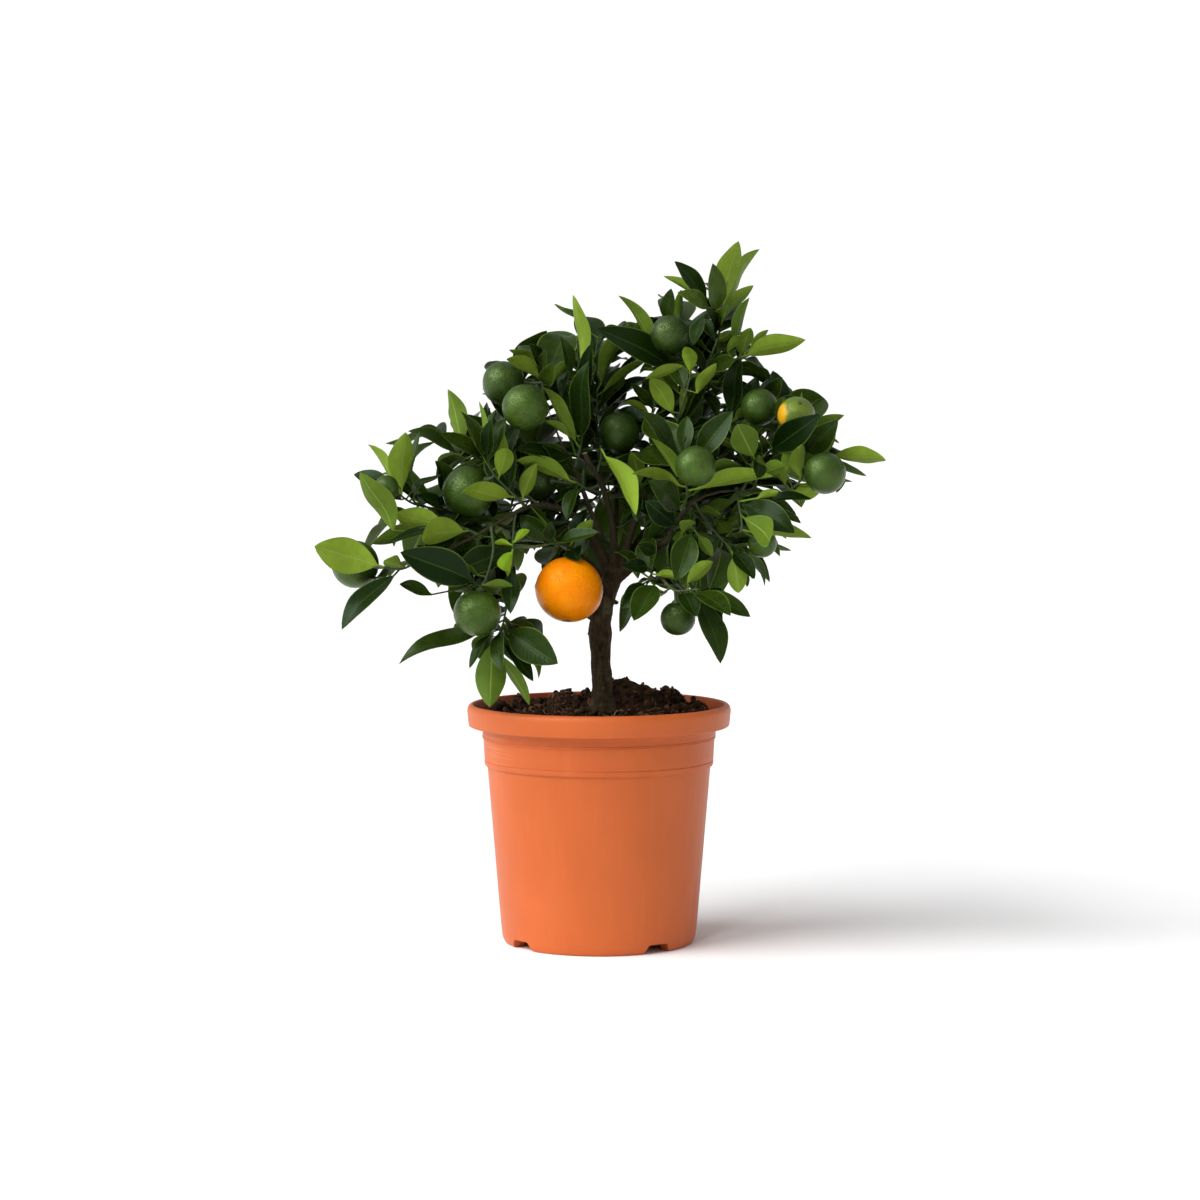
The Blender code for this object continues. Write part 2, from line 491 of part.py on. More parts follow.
def pot_profile():
    """(radius, height) from the inner floor over the rim, down the outside and under the foot."""
    inner = [(0, FLOOR_TOP), (outer_radius(FLOOR_TOP) - WALL, FLOOR_TOP),
             (BODY_RADIUS - WALL, SHOULDER_HEIGHT), (SHOULDER_RADIUS - WALL, SHOULDER_HEIGHT + 4 * MM),
             (NECK_RADIUS - WALL, POT_HEIGHT - 13 * MM),
             (RIM_INNER_RADIUS - 0.4 * MM, POT_HEIGHT - 9.5 * MM),
             (RIM_INNER_RADIUS, POT_HEIGHT - RIM_ROLL)]
    roll_middle = (RIM_INNER_RADIUS + RIM_RADIUS) / 2
    roll_radius = (RIM_RADIUS - RIM_INNER_RADIUS) / 2
    roll = []
    for step in range(1, 5):
        angle = math.pi * (1 - step / 5)
        roll.append((roll_middle + roll_radius * math.cos(angle),
                     POT_HEIGHT - RIM_ROLL + RIM_ROLL * math.sin(angle)))
    rim_foot = POT_HEIGHT - RIM_HEIGHT
    outer = [(RIM_RADIUS, POT_HEIGHT - RIM_ROLL - 0.2 * MM), (RIM_RADIUS - 0.9 * MM, rim_foot + 0.8 * MM),
             (RIM_RADIUS - 1.7 * MM, rim_foot), (NECK_RADIUS + 0.4 * MM, rim_foot - 1.2 * MM),
             (NECK_RADIUS, NECK_FOOT), (NECK_RADIUS - 0.5 * MM, BAND_TOP),
             (SHOULDER_RADIUS + BAND_PROUD, BAND_FOOT), (SHOULDER_RADIUS, BAND_UNDERSIDE),
             (SHOULDER_RADIUS - 0.3 * MM, SHOULDER_HEIGHT + 0.8 * MM),
             (BODY_RADIUS, SHOULDER_HEIGHT - 0.4 * MM), (FOOT_RADIUS, FOOT_BEND),
             (FOOT_RADIUS - 0.7 * MM, FOOT_INSET), (FOOT_RADIUS - 1.8 * MM, 0.6 * MM),
             (FOOT_RADIUS - FOOT_INSET, 0)]
    ring_inside = FOOT_RADIUS - FOOT_INSET - FOOT_RING_WIDTH
    under = [(ring_inside, 0), (ring_inside - 0.5 * MM, FLOOR_UNDERSIDE), (0, FLOOR_UNDERSIDE)]
    return inner + roll + outer + under


def build_pot(collection, cutters):
    profile = pot_profile()
    mesh = bpy.data.meshes.new("pot")
    edges = [(i, i + 1) for i in range(len(profile) - 1)]
    mesh.from_pydata([(r, 0, z) for r, z in profile], edges, [])
    pot = bpy.data.objects.new("pot", mesh)
    collection.objects.link(pot)
    turn = pot.modifiers.new("turned", "SCREW")
    turn.steps = turn.render_steps = POT_STEPS
    turn.use_merge_vertices = True
    turn.merge_threshold = 0.00001
    turn.use_normal_calculate = True
    notches = [notch_cutter(index, angle, cutters) for index, angle in enumerate(NOTCH_ANGLES)]
    drains = [drain_cutter(index, cutters) for index in range(5)]
    for cutter in notches + drains:
        cut = pot.modifiers.new(cutter.name, "BOOLEAN")
        cut.operation = "DIFFERENCE"
        cut.solver = "EXACT"
        cut.object = cutter
    return pot


def hide_cutter(obj):
    obj.hide_render = True
    obj.display_type = "WIRE"


def notch_cutter(index, angle, cutters):
    """A bevelled block that cuts one drain notch through the foot ring, angle from the front."""
    mesh = bpy.data.meshes.new("notch")
    shape = bmesh.new()
    bmesh.ops.create_cube(shape, size=1)
    for vert in shape.verts:
        top = vert.co.z > 0
        vert.co.x *= NOTCH_WIDTH * (0.72 if top else 1.12)
        vert.co.y = -(FOOT_RADIUS + 6 * MM if vert.co.y < 0 else FOOT_RADIUS - 12 * MM)
        vert.co.z = NOTCH_HEIGHT if top else -1 * MM
    shape.to_mesh(mesh)
    shape.free()
    obj = bpy.data.objects.new(f"notch_cutter_{index}", mesh)
    obj.rotation_euler.z = math.radians(angle)
    cutters.objects.link(obj)
    hide_cutter(obj)
    return obj


def drain_cutter(index, cutters):
    mesh = bpy.data.meshes.new("drain")
    shape = bmesh.new()
    bmesh.ops.create_cone(shape, cap_ends=True, segments=10, radius1=DRAIN_HOLE_RADIUS,
                          radius2=DRAIN_HOLE_RADIUS, depth=12 * MM)
    shape.to_mesh(mesh)
    shape.free()
    obj = bpy.data.objects.new(f"drain_cutter_{index}", mesh)
    angle = math.radians(90 * index + 45)
    reach = 0 if index == 4 else DRAIN_RING_RADIUS
    obj.location = (reach * math.cos(angle), reach * math.sin(angle), FLOOR_UNDERSIDE + 1 * MM)
    cutters.objects.link(obj)
    hide_cutter(obj)
    return obj


def soil_height(x, y, lumps):
    """Height of the compost: level at the trunk, heaped behind it, sloping down to the rim."""
    radius = math.hypot(x, y)
    level = SOIL_LEVEL + (SOIL_RIM_LEVEL - SOIL_LEVEL) * min(1, (radius / SOIL_REACH) ** 2)
    away = min(1, max(0, (math.hypot(x - TRUNK[0][0] * MM, y) - TRUNK_CLEAR_RADIUS) / (7 * MM)))
    edge = min(1, max(0, (RIM_CLEAR_RADIUS - radius) / (8 * MM)))
    rise = 0
    for place, height, length, width in lumps:
        dx = (x - place.x) / length
        dy = (y - place.y) / width
        rise += height * math.exp(-(dx * dx + dy * dy))
    return level + rise * away * edge


def build_soil(collection):
    rng = random.Random("soil")
    lumps = list(HEAPS)
    for _ in range(LUMP_COUNT):
        angle = rng.uniform(0, 2 * math.pi)
        reach = rng.uniform(27, 54) * MM
        size = rng.uniform(4, 8) * MM
        place = Vector((reach * math.cos(angle), reach * math.sin(angle)))
        lumps.append((place, rng.uniform(1.2, 3.4) * MM, size, size))
    side = [(outer_radius(FLOOR_TOP) - WALL - GAP, FLOOR_TOP + GAP),
            (BODY_RADIUS - WALL - GAP, SHOULDER_HEIGHT),
            (SHOULDER_RADIUS - WALL - GAP, SHOULDER_HEIGHT + 4 * MM),
            (NECK_RADIUS - WALL - GAP, POT_HEIGHT - 12.6 * MM),
            (RIM_INNER_RADIUS - 0.8 * MM, POT_HEIGHT - 9.1 * MM)]
    top_radii = [SOIL_REACH, 53 * MM, 43 * MM, 33 * MM, 25 * MM, TRUNK_CLEAR_RADIUS + 0.5 * MM]
    trunk_x = TRUNK[0][0] * MM
    verts = []
    rings = 0
    for radius, height in side:
        for step in range(POT_STEPS):
            angle = 2 * math.pi * step / POT_STEPS
            verts.append((radius * math.cos(angle), radius * math.sin(angle), height))
        rings += 1
    for reach in top_radii:
        shift = trunk_x * (1 - reach / SOIL_REACH)
        for step in range(POT_STEPS):
            angle = 2 * math.pi * step / POT_STEPS
            x = shift + reach * math.cos(angle)
            y = reach * math.sin(angle)
            verts.append((x, y, soil_height(x, y, lumps)))
        rings += 1
    for height in (SOIL_LEVEL, HOLE_DEPTH_LEVEL):
        for step in range(POT_STEPS):
            angle = 2 * math.pi * step / POT_STEPS
            verts.append((trunk_x + HOLE_RADIUS * math.cos(angle), HOLE_RADIUS * math.sin(angle), height))
        rings += 1
    faces = []
    for ring in range(rings - 1):
        for step in range(POT_STEPS):
            after = (step + 1) % POT_STEPS
            a, b = ring * POT_STEPS + step, ring * POT_STEPS + after
            faces.append((a, b, b + POT_STEPS, a + POT_STEPS))
    faces.append(tuple(reversed(range(POT_STEPS))))
    faces.append(tuple(range((rings - 1) * POT_STEPS, rings * POT_STEPS)))
    return mesh_object("soil", verts, faces, collection)


def build_wood(collection, workshop):
    """Trunk, surface roots and limbs as one grown solid."""
    trunk = tube("trunk", [at_eye(p) for p in TRUNK], [r * MM for r in TRUNK_RADII], 2, workshop)
    others = []
    for key, (points, thick, thin) in LIMBS.items():
        route = smooth_route([at_eye(p) for p in points], 2 if len(points) > 5 else 1)
        last = len(route) - 1
        radii = [(thick + (thin - thick) * i / last) * MM for i in range(len(route))]
        others.append(tube("limb_" + key, route, radii, 1, workshop))
    centre = at_eye(TRUNK[3])
    for index, (heading, length, thick) in enumerate(SURFACE_ROOTS):
        angle = math.radians(heading)
        away = Vector((math.cos(angle), math.sin(angle), 0))
        start = Vector((centre.x, 0, 118.5 * MM)) + away * 3 * MM
        middle = Vector((centre.x, 0, 117.2 * MM)) + away * (length * 0.6) * MM
        end = Vector((centre.x, 0, 115.9 * MM)) + away * length * MM
        radii = [thick * MM, thick * 0.85 * MM, 0.9 * MM]
        others.append(tube(f"root_{index}", [start, middle, end], radii, 1, workshop))
    return join_solids("wood", trunk, others, collection)


def fruit_axis_radius(radius):
    return radius * 0.94


def build_fruit(name, place, radius, stalk_side, collection):
    """A slightly flattened berry whose poles lie along its stalk."""
    mesh = bpy.data.meshes.new(name)
    shape = bmesh.new()
    bmesh.ops.create_uvsphere(shape, u_segments=10, v_segments=6, radius=1)
    shape.to_mesh(mesh)
    shape.free()
    turn = Vector((0, 0, 1)).rotation_difference(stalk_side).to_matrix().to_4x4()
    size = Matrix.Diagonal((radius, radius, fruit_axis_radius(radius), 1))
    mesh.transform(Matrix.Translation(place) @ turn @ size)
    mesh.shade_smooth()
    obj = bpy.data.objects.new(name, mesh)
    collection.objects.link(obj)
    return obj


def on_stem(stem, place):
    """The point of a stem's middle line nearest to a place, kept inside both of its ends."""
    best = None
    last = len(stem) - 2
    for index in range(last + 1):
        start, end = stem[index], stem[index + 1]
        along = end - start
        length = along.length
        low = ROOT_INSET / length if index == 0 else 0
        high = 1 - (ROOT_INSET / length if index == last else 0)
        share = min(high, max(low, (place - start).dot(along) / length ** 2))
        point = start + along * share
        if best is None or (point - place).length < (best - place).length:
            best = point
    return best


def stalk(name, start, fruit_place, radius, collection):
    """A fruit stalk that widens to the calyx, just clear of the fruit."""
    side = (start - fruit_place).normalized()
    end = fruit_place + side * (fruit_axis_radius(radius) + GAP)
    neck = end + side * 1.3 * MM
    points = [start, neck, end]
    radii = [STALK_RADIUS, STALK_RADIUS * 1.15, CALYX_RADIUS]
    return tube(name, points, radii, 0, collection)


def ring_clear(centre, along, radius, wood):
    """True where a stem's flat end lies outside the wood with the working gap."""
    side = along.orthogonal().normalized()
    other = along.cross(side).normalized()
    for step in range(8):
        angle = 2 * math.pi * step / 8
        point = centre + (side * math.cos(angle) + other * math.sin(angle)) * radius
        place, normal, _, distance = wood.find_nearest(point)
        if distance < GAP or (point - place).dot(normal) < 0:
            return False
    return True


def seated_route(points, wood):
    """The stem's route from just outside the wood to its tip."""
    fine = smooth_route([at_eye(p) for p in points], 40)
    for index in range(len(fine) - 1):
        along = (fine[index + 1] - fine[index]).normalized()
        if ring_clear(fine[index], along, STEM_RADIUS, wood):
            break
    kept = fine[index:]
    count = len(points)
    spaced = [kept[round(i * (len(kept) - 1) / count)] for i in range(count + 1)]
    return kept, spaced


def leaf_frame(root, base, tip, width, upper, arch, fold):
    """A leaf's stations: petiole root, blade base, two wide stations and the tip."""
    axis = (tip - base).normalized()
    upper = (upper - axis * upper.dot(axis)).normalized()
    side = axis.cross(upper)
    length = (tip - base).length
    stations = []
    petiole = (base - root).normalized()
    petiole_side = (side - petiole * side.dot(petiole)).normalized()
    petiole_upper = petiole_side.cross(petiole)
    half = PETIOLE_WIDTH / 2
    stations.append((root, petiole_side * half, 0, petiole_upper, PETIOLE_THICKNESS))
    stations.append((base, side * half, 0, upper, PETIOLE_THICKNESS))
    for share, station in ((1.0, WIDE_STATION), (NARROW_SHARE, NARROW_STATION)):
        middle = base + (tip - base) * station + upper * (4 * station * (1 - station) * arch * length)
        half = width / 2 * share
        across = side * (half * math.cos(fold))
        stations.append((middle, across, half * math.sin(fold), upper, BLADE_THICKNESS))
    plain = (base - root).length < PLAIN_SHARE * (tip - root).length
    if plain:
        stations[1] = between(stations[0], stations[2], PLAIN_BASE_SHARE)
    return stations, tip, plain


def between(start, end, share):
    """A section part of the way from one to another."""
    middle, across, rise = (start[i] + (end[i] - start[i]) * share for i in range(3))
    return middle, across, rise, end[3], start[4] + (end[4] - start[4]) * share


def leaf_solid(frame, extra=0.0, first=0):
    """Vertices and faces of a blade with three-cornered sections: two edges and a keel."""
    stations, tip, plain = frame
    if first:
        stations = stations[first:]
    elif plain:
        stations = [stations[0]] + stations[2:]
    verts = []
    for middle, across, rise, normal, thickness in stations:
        out = across + across.normalized() * extra
        top = middle + normal * (rise + (1 - KEEL_SHARE) * thickness + extra)
        verts += [top - out, top + out, middle - normal * (KEEL_SHARE * thickness + extra)]
    verts.append(tip + (tip - stations[-1][0]).normalized() * extra)
    faces = [(0, 2, 1)]
    for ring in range(len(stations) - 1):
        a = ring * 3
        for corner in range(3):
            p, q = a + corner, a + (corner + 1) % 3
            faces += [(p, q, q + 3), (p, q + 3, p + 3)]
    last = 3 * (len(stations) - 1)
    for corner in range(3):
        faces.append((last + corner, last + (corner + 1) % 3, last + 3))
    return verts, faces


def leaf_draws(name):
    """A leaf's own arch and fold."""
    rng = random.Random(name)
    return rng.uniform(*ARCH_RANGE), math.radians(rng.uniform(*FOLD_RANGE)), rng


def shown_leaf(name, plan_route, stem, leaf, variant):
    """A leaf measured from the front: where its blade starts and ends, its width and its face."""
    base_x, base_z, tip_x, tip_z, width, face, lean = leaf
    lean_shift, roll_shift, scale = variant
    root_plan = min(plan_route, key=lambda p: math.hypot(p.x - base_x, p.z - base_z))
    stalk_length = math.hypot(root_plan.x - base_x, root_plan.z - base_z)
    blade_length = math.hypot(tip_x - base_x, tip_z - base_z)
    depth = lean + lean_shift
    base_depth = root_plan.y + depth * stalk_length / (stalk_length + blade_length)
    root = on_stem(stem, at_eye(root_plan))
    base = at_eye((base_x, base_depth, base_z))
    tip = at_eye((tip_x, root_plan.y + depth, tip_z))
    short = (base - root).length < SHORT_PETIOLE * (tip - root).length
    if short or (base - root).angle(tip - base) > SHARPEST_BEND:
        base = root.lerp(tip, SHORT_PETIOLE)
    tip = root + (tip - root) * scale
    base = root + (base - root) * scale
    axis = (tip - base).normalized()
    to_eye = (EYE - base.lerp(tip, 0.5)).normalized()
    facing = (to_eye - axis * to_eye.dot(axis)).normalized()
    sideways = axis.cross(facing)
    length = (tip - base).length
    seen_width = width * MM * scale
    true_width = min(max(seen_width, BLADE_ASPECT * length), WIDEST_ASPECT * length)
    roll = math.acos(min(1, seen_width / true_width))
    if face == "L":
        facing = -facing
    upper = facing * math.cos(roll) + sideways * math.sin(roll)
    other = facing * math.cos(roll) - sideways * math.sin(roll)
    if other.z > upper.z:
        upper = other
    upper = Matrix.Rotation(math.radians(roll_shift), 3, axis) @ upper
    arch, fold, _ = leaf_draws(name)
    return leaf_frame(root, base, tip, true_width, upper, arch, fold)


def grown_leaf(name, route, stem, index, count, variant, away):
    """A leaf placed by rule: a golden-angle spiral up the stem, tilted out and facing the sky."""
    turn, scale = variant
    arch, fold, rng = leaf_draws(name)
    place = (index + 0.7) / count
    position = min(len(route) - 2, max(3, int(place * (len(route) - 1))))
    root = on_stem(stem, route[position])
    along = (route[position + 1] - route[position - 1]).normalized()
    side = along.cross(Vector((0, 0, 1))).normalized()
    up = side.cross(along)
    angle = index * GOLDEN_ANGLE + rng.uniform(-0.3, 0.3) + math.radians(turn)
    tilt = math.radians(rng.uniform(*GROWN_TILTS))
    heading = along * math.cos(tilt) + (side * math.cos(angle) + up * math.sin(angle)) * math.sin(tilt)
    if away and heading.y < 0:
        heading.y = -heading.y
    length = rng.uniform(*GROWN_LENGTHS) * MM * scale
    heading.z -= rng.uniform(0, 0.25)
    heading.normalize()
    tip = root + heading * length
    base = root + heading * length * GROWN_PETIOLE
    upper = Vector((0, 0, 1)) + along * 0.5 + Vector((rng.uniform(-0.4, 0.4), rng.uniform(-0.4, 0.4), 0))
    width = BLADE_ASPECT * length * rng.uniform(0.92, 1.1)
    return leaf_frame(root, base, tip, width, upper, arch, fold)


class Crown:
    """Keeps what stands in the crown, so that a new leaf can be bent clear of it."""

    def __init__(self):
        self.things = []

    def add(self, verts, faces, owner):
        middle = sum(verts, Vector()) / len(verts)
        radius = max((v - middle).length for v in verts)
        self.things.append((middle, radius, BVHTree.FromPolygons(verts, faces), owner, verts, faces))

    def add_object(self, obj, owner):
        verts = [v.co.copy() for v in obj.data.vertices]
        self.add(verts, [tuple(p.vertices) for p in obj.data.polygons], owner)

    def clear(self, frame, owner, own_too):
        """True where a leaf crosses nothing; its blade may also be kept clear of its own spray."""
        verts, faces = leaf_solid(frame, CLEARANCE)
        middle = sum(verts, Vector()) / len(verts)
        radius = max((v - middle).length for v in verts)
        whole = BVHTree.FromPolygons(verts, faces)
        blade = BVHTree.FromPolygons(*leaf_solid(frame, CLEARANCE, 1))
        for centre, reach, other, holder, _, _ in self.things:
            if (centre - middle).length > reach + radius:
                continue
            if holder == owner and not own_too:
                continue
            if (blade if holder == owner else whole).overlap(other):
                return False
        return True

    def screen(self):
        verts, faces = [], []
        for _, _, _, _, some_verts, some_faces in self.things:
            start = len(verts)
            verts += some_verts
            faces += [tuple(i + start for i in face) for face in some_faces]
        return BVHTree.FromPolygons(verts, faces)


def in_core(point):
    """True where a place falls in the crown's dense core as the eye sees it."""
    reach = EYE_DISTANCE / (point.y + EYE_DISTANCE)
    across = point.x * reach - CORE_ACROSS
    rise = EYE_HEIGHT + (point.z - EYE_HEIGHT) * reach - CORE_HEIGHT
    return (across / CORE_HALF_WIDTH) ** 2 + (rise / CORE_HALF_HEIGHT) ** 2 < 1


def hidden_share(frame, screen):
    """Share of a leaf that the crown's front or dense core takes in; 0 if it hides what shows."""
    stations, tip, _ = frame
    wide, narrow = stations[2], stations[3]
    points = [tip, wide[0], wide[0] + wide[1], wide[0] - wide[1], narrow[0]]
    hidden = 0
    for point in points:
        ray = point - EYE
        distance = screen.ray_cast(EYE, ray.normalized())[3]
        if distance is not None and distance > ray.length:
            return 0
        hidden += in_core(point) if distance is None else 1
    return hidden / len(points)


def try_leaf(frames, crown, owner, screen, workshop, name):
    """The first of a leaf's variants that stands clear, as an object, or None."""
    if screen is not None:
        frames = [frame for frame in frames if hidden_share(frame, screen) >= HIDDEN_ENOUGH]
    for own_too in (True, False) if screen is None else (True,):
        for frame in frames:
            if crown.clear(frame, owner, own_too):
                verts, faces = leaf_solid(frame)
                crown.add(verts, faces, owner)
                return mesh_object(name, verts, faces, workshop)
    return None


def build_crown(wood, collection, workshop):
    """Fruits, then every stem, then the leaves that show, then those behind them."""
    wood_tree = bvh_of(wood)
    crown = Crown()
    crown.add_object(wood, "wood")
    plans = {name: (spray["stem"], spray.get("fruits", [])) for name, spray in SPRAYS.items()}
    plans.update({name: (stem, fruits) for name, (stem, _, fruits) in BACK_SPRAYS.items()})
    parts, routes, stems = {}, {}, {}
    for name, (stem, fruits) in plans.items():
        route, spaced = seated_route(stem, wood_tree)
        routes[name] = route
        stems[name] = spaced
        last = len(spaced) - 1
        radii = [STEM_RADIUS * (1 - 0.3 * i / last) for i in range(last + 1)]
        parts[name] = [tube(name + "_stem", spaced, radii, 0, workshop)]
        for fruit in fruits:
            across, depth, height, radius = FRUITS[fruit]
            place = at_eye((across, depth, height))
            radius *= MM * reach_at(depth)
            start = on_stem(spaced, place)
            parts[name].append(stalk(fruit + "_stalk", start, place, radius, workshop))
            berry = build_fruit(fruit, place, radius, (start - place).normalized(), collection)
            crown.add_object(berry, fruit)
    for name, pieces in parts.items():
        for piece in pieces:
            crown.add_object(piece, name)
    for name, spray in SPRAYS.items():
        plan_route = smooth_route(spray["stem"], 12)[4:]
        for index, leaf in enumerate(spray["leaves"]):
            key = f"{name}-{index}"
            frames = [shown_leaf(key, plan_route, stems[name], leaf, variant) for variant in SHOW_VARIANTS]
            parts[name].append(try_leaf(frames, crown, name, None, workshop, key))
    screen = crown.screen()
    for name in plans:
        back = name in BACK_SPRAYS
        count = BACK_SPRAYS[name][1] if back else FILL_LEAVES
        for index in range(count):
            key = f"{name}-grown-{index}"
            variants = [(turn, scale) for scale in SCALES for turn in TURNS]
            frames = [grown_leaf(key, routes[name], stems[name], index, count, variant, not back)
                      for variant in variants]
            parts[name].append(try_leaf(frames, crown, name, screen, workshop, key))
    for name, pieces in parts.items():
        pieces = [piece for piece in pieces if piece is not None]
        join_solids(name, pieces[0], pieces[1:], collection)


def colour_key(name):
    for key in ("pot", "soil", "wood", "fruit_ripe", "fruit_turning", "fruit_green"):
        if name.startswith(key):
            return key
    return "leaf"


def main():
    for obj in list(bpy.data.objects):
        bpy.data.objects.remove(obj)
    tree = bpy.data.collections.new("potted_calamondin_tree")
    cutters = bpy.data.collections.new("cutters")
    workshop = bpy.data.collections.new("workshop")
    for collection in (tree, cutters, workshop):
        bpy.context.scene.collection.children.link(collection)
    pot = build_pot(tree, cutters)
    build_soil(tree)
    wood = build_wood(tree, workshop)
    build_crown(wood, tree, workshop)
    bpy.data.collections.remove(workshop)
    for obj in tree.objects:
        colour, roughness = COLOURS[colour_key(obj.name)]
        obj.data.materials.clear()
        obj.data.materials.append(make_material(obj.name, colour, roughness))
    pot.data.shade_smooth()


main()
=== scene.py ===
# Potted calamondin tree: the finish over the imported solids. Metres, +Z up, front at -Y.
import math
import random

import bmesh
import bpy
from mathutils import Matrix, Vector, kdtree, noise
from mathutils.bvhtree import BVHTree


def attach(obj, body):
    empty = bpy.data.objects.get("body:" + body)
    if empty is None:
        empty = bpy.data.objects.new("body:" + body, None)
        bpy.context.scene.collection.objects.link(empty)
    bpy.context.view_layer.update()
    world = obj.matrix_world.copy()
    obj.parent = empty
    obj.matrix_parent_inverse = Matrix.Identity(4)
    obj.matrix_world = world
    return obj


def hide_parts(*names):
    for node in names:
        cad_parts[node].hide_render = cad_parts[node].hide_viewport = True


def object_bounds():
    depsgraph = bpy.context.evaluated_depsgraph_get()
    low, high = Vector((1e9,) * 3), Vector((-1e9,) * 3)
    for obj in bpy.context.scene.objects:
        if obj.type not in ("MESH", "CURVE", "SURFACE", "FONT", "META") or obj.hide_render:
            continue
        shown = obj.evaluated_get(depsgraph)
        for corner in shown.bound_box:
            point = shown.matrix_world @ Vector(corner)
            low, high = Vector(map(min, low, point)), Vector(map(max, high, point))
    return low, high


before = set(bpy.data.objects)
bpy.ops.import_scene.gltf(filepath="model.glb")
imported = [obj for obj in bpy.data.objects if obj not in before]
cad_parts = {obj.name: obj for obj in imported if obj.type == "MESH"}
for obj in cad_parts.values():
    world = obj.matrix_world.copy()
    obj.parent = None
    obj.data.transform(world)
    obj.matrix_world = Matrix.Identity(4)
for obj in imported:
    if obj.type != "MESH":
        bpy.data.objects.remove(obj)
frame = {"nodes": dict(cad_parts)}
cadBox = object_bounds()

millimetre = 0.001
outlook = {  # where the photo was taken from, and how far the crown is spread in depth
    "eyeDistance": 1.6,
    "eyeHeight": 0.2794,
    "eyeAcross": 0.0005,
    "pitchDown": 3.84,
    "lens": 96,
    "frontSpread": 1.15,
    "backSpread": 1.02,
}
eye = Vector((0, -outlook["eyeDistance"], outlook["eyeHeight"]))


class Field:  # a value inside a node tree; sums and products of Fields add the nodes they need
    def __init__(self, socket):
        self.socket = socket
        self.tree = socket.id_data

    def math(self, operation, *others):
        return newField(self.tree, "ShaderNodeMath", enumerate((self, *others)), operation=operation)

    def vectorMath(self, operation, *others):
        output = "Value" if operation == "LENGTH" else "Vector"
        return newField(self.tree, "ShaderNodeVectorMath", enumerate((self, *others)), output,
                        operation=operation)

    def combined(self, operation, other):
        if self.socket.type == "VECTOR":
            return self.vectorMath(operation, other)
        return self.math(operation, other)

    def __add__(self, other):
        return self.combined("ADD", other)

    def __sub__(self, other):
        return self.combined("SUBTRACT", other)

    def __rsub__(self, other):
        return newField(self.tree, "ShaderNodeMath", {0: other, 1: self}, operation="SUBTRACT")

    def __mul__(self, other):
        if self.socket.type == "VECTOR":
            return newField(self.tree, "ShaderNodeVectorMath", {0: self, "Scale": other}, "Vector",
                            operation="SCALE")
        return self.math("MULTIPLY", other)

    def __truediv__(self, other):
        return self.math("DIVIDE", other)

    def __pow__(self, other):
        return self.math("POWER", other)

    def xyz(self):
        node = addNode(self.tree, "ShaderNodeSeparateXYZ", {0: self})
        return [Field(out) for out in node.outputs]


def setInputs(node, inputs):  # a Field or a socket is linked, anything else stays on the node's own socket
    for key, value in dict(inputs).items():
        value = value.socket if isinstance(value, Field) else value
        if isinstance(value, bpy.types.NodeSocket):
            node.id_data.links.new(value, node.inputs[key])
        else:
            node.inputs[key].default_value = value


def addNode(tree, kind, inputs=(), **settings):
    node = tree.nodes.new(kind)
    for key, value in settings.items():
        setattr(node, key, value)
    setInputs(node, inputs)
    return node


def newField(tree, kind, inputs=(), output=0, **settings):
    return Field(addNode(tree, kind, inputs, **settings).outputs[output])


def openTree(name, inputs=()):  # a Geometry Nodes tree with named inputs: (name, kind, value)
    tree = bpy.data.node_groups.new(name, "GeometryNodeTree")
    tree.interface.new_socket("Geometry", in_out="INPUT", socket_type="NodeSocketGeometry")
    tree.interface.new_socket("Geometry", in_out="OUTPUT", socket_type="NodeSocketGeometry")
    for label, kind, value in inputs:
        socket = tree.interface.new_socket(label, in_out="INPUT", socket_type="NodeSocket" + kind)
        socket.default_value = value
    entry = tree.nodes.new("NodeGroupInput")
    given = {label: Field(entry.outputs[label]) for label, _, _ in inputs}
    return tree, entry.outputs["Geometry"], given


def closeTree(tree, geometry, finish):
    coated = addNode(tree, "GeometryNodeSetMaterial", {"Geometry": geometry, "Material": finish})
    addNode(tree, "NodeGroupOutput", {0: coated.outputs[0]})
    return tree


def useTree(obj, tree, values):  # inputs are set by identifier, before the object is evaluated
    modifier = obj.modifiers.new(tree.name, "NODES")
    modifier.node_group = tree
    for item in tree.interface.items_tree:
        if item.item_type == "SOCKET" and item.in_out == "INPUT" and item.name in values:
            modifier[item.identifier] = values[item.name]


def attribute(tree, name, kind="FLOAT"):
    return newField(tree, "GeometryNodeInputNamedAttribute", {"Name": name}, "Attribute", data_type=kind)


def keepAttribute(tree, geometry, name, value, kind="FLOAT_VECTOR"):
    node = addNode(tree, "GeometryNodeStoreNamedAttribute",
                   {"Geometry": geometry, "Name": name, "Value": value}, data_type=kind, domain="POINT")
    return node.outputs["Geometry"]


def keepValues(mesh, name, values, kind="FLOAT"):  # one value for each vertex, read by a tree or a finish
    layer = mesh.attributes.new(name, kind, "POINT")
    layer.data.foreach_set("vector" if kind == "FLOAT_VECTOR" else "value", values)


def newObject(name, mesh):
    obj = bpy.data.objects.new(name, mesh)
    bpy.context.scene.collection.objects.link(obj)
    return obj


def meshFrom(name, shape):
    mesh = bpy.data.meshes.new(name)
    shape.to_mesh(mesh)
    shape.free()
    return mesh


def plainMesh(obj):  # the evaluated object as a mesh, with nothing live left on it
    bpy.context.view_layer.update()
    depsgraph = bpy.context.evaluated_depsgraph_get()
    mesh = bpy.data.meshes.new_from_object(obj.evaluated_get(depsgraph))
    obj.modifiers.clear()
    return mesh


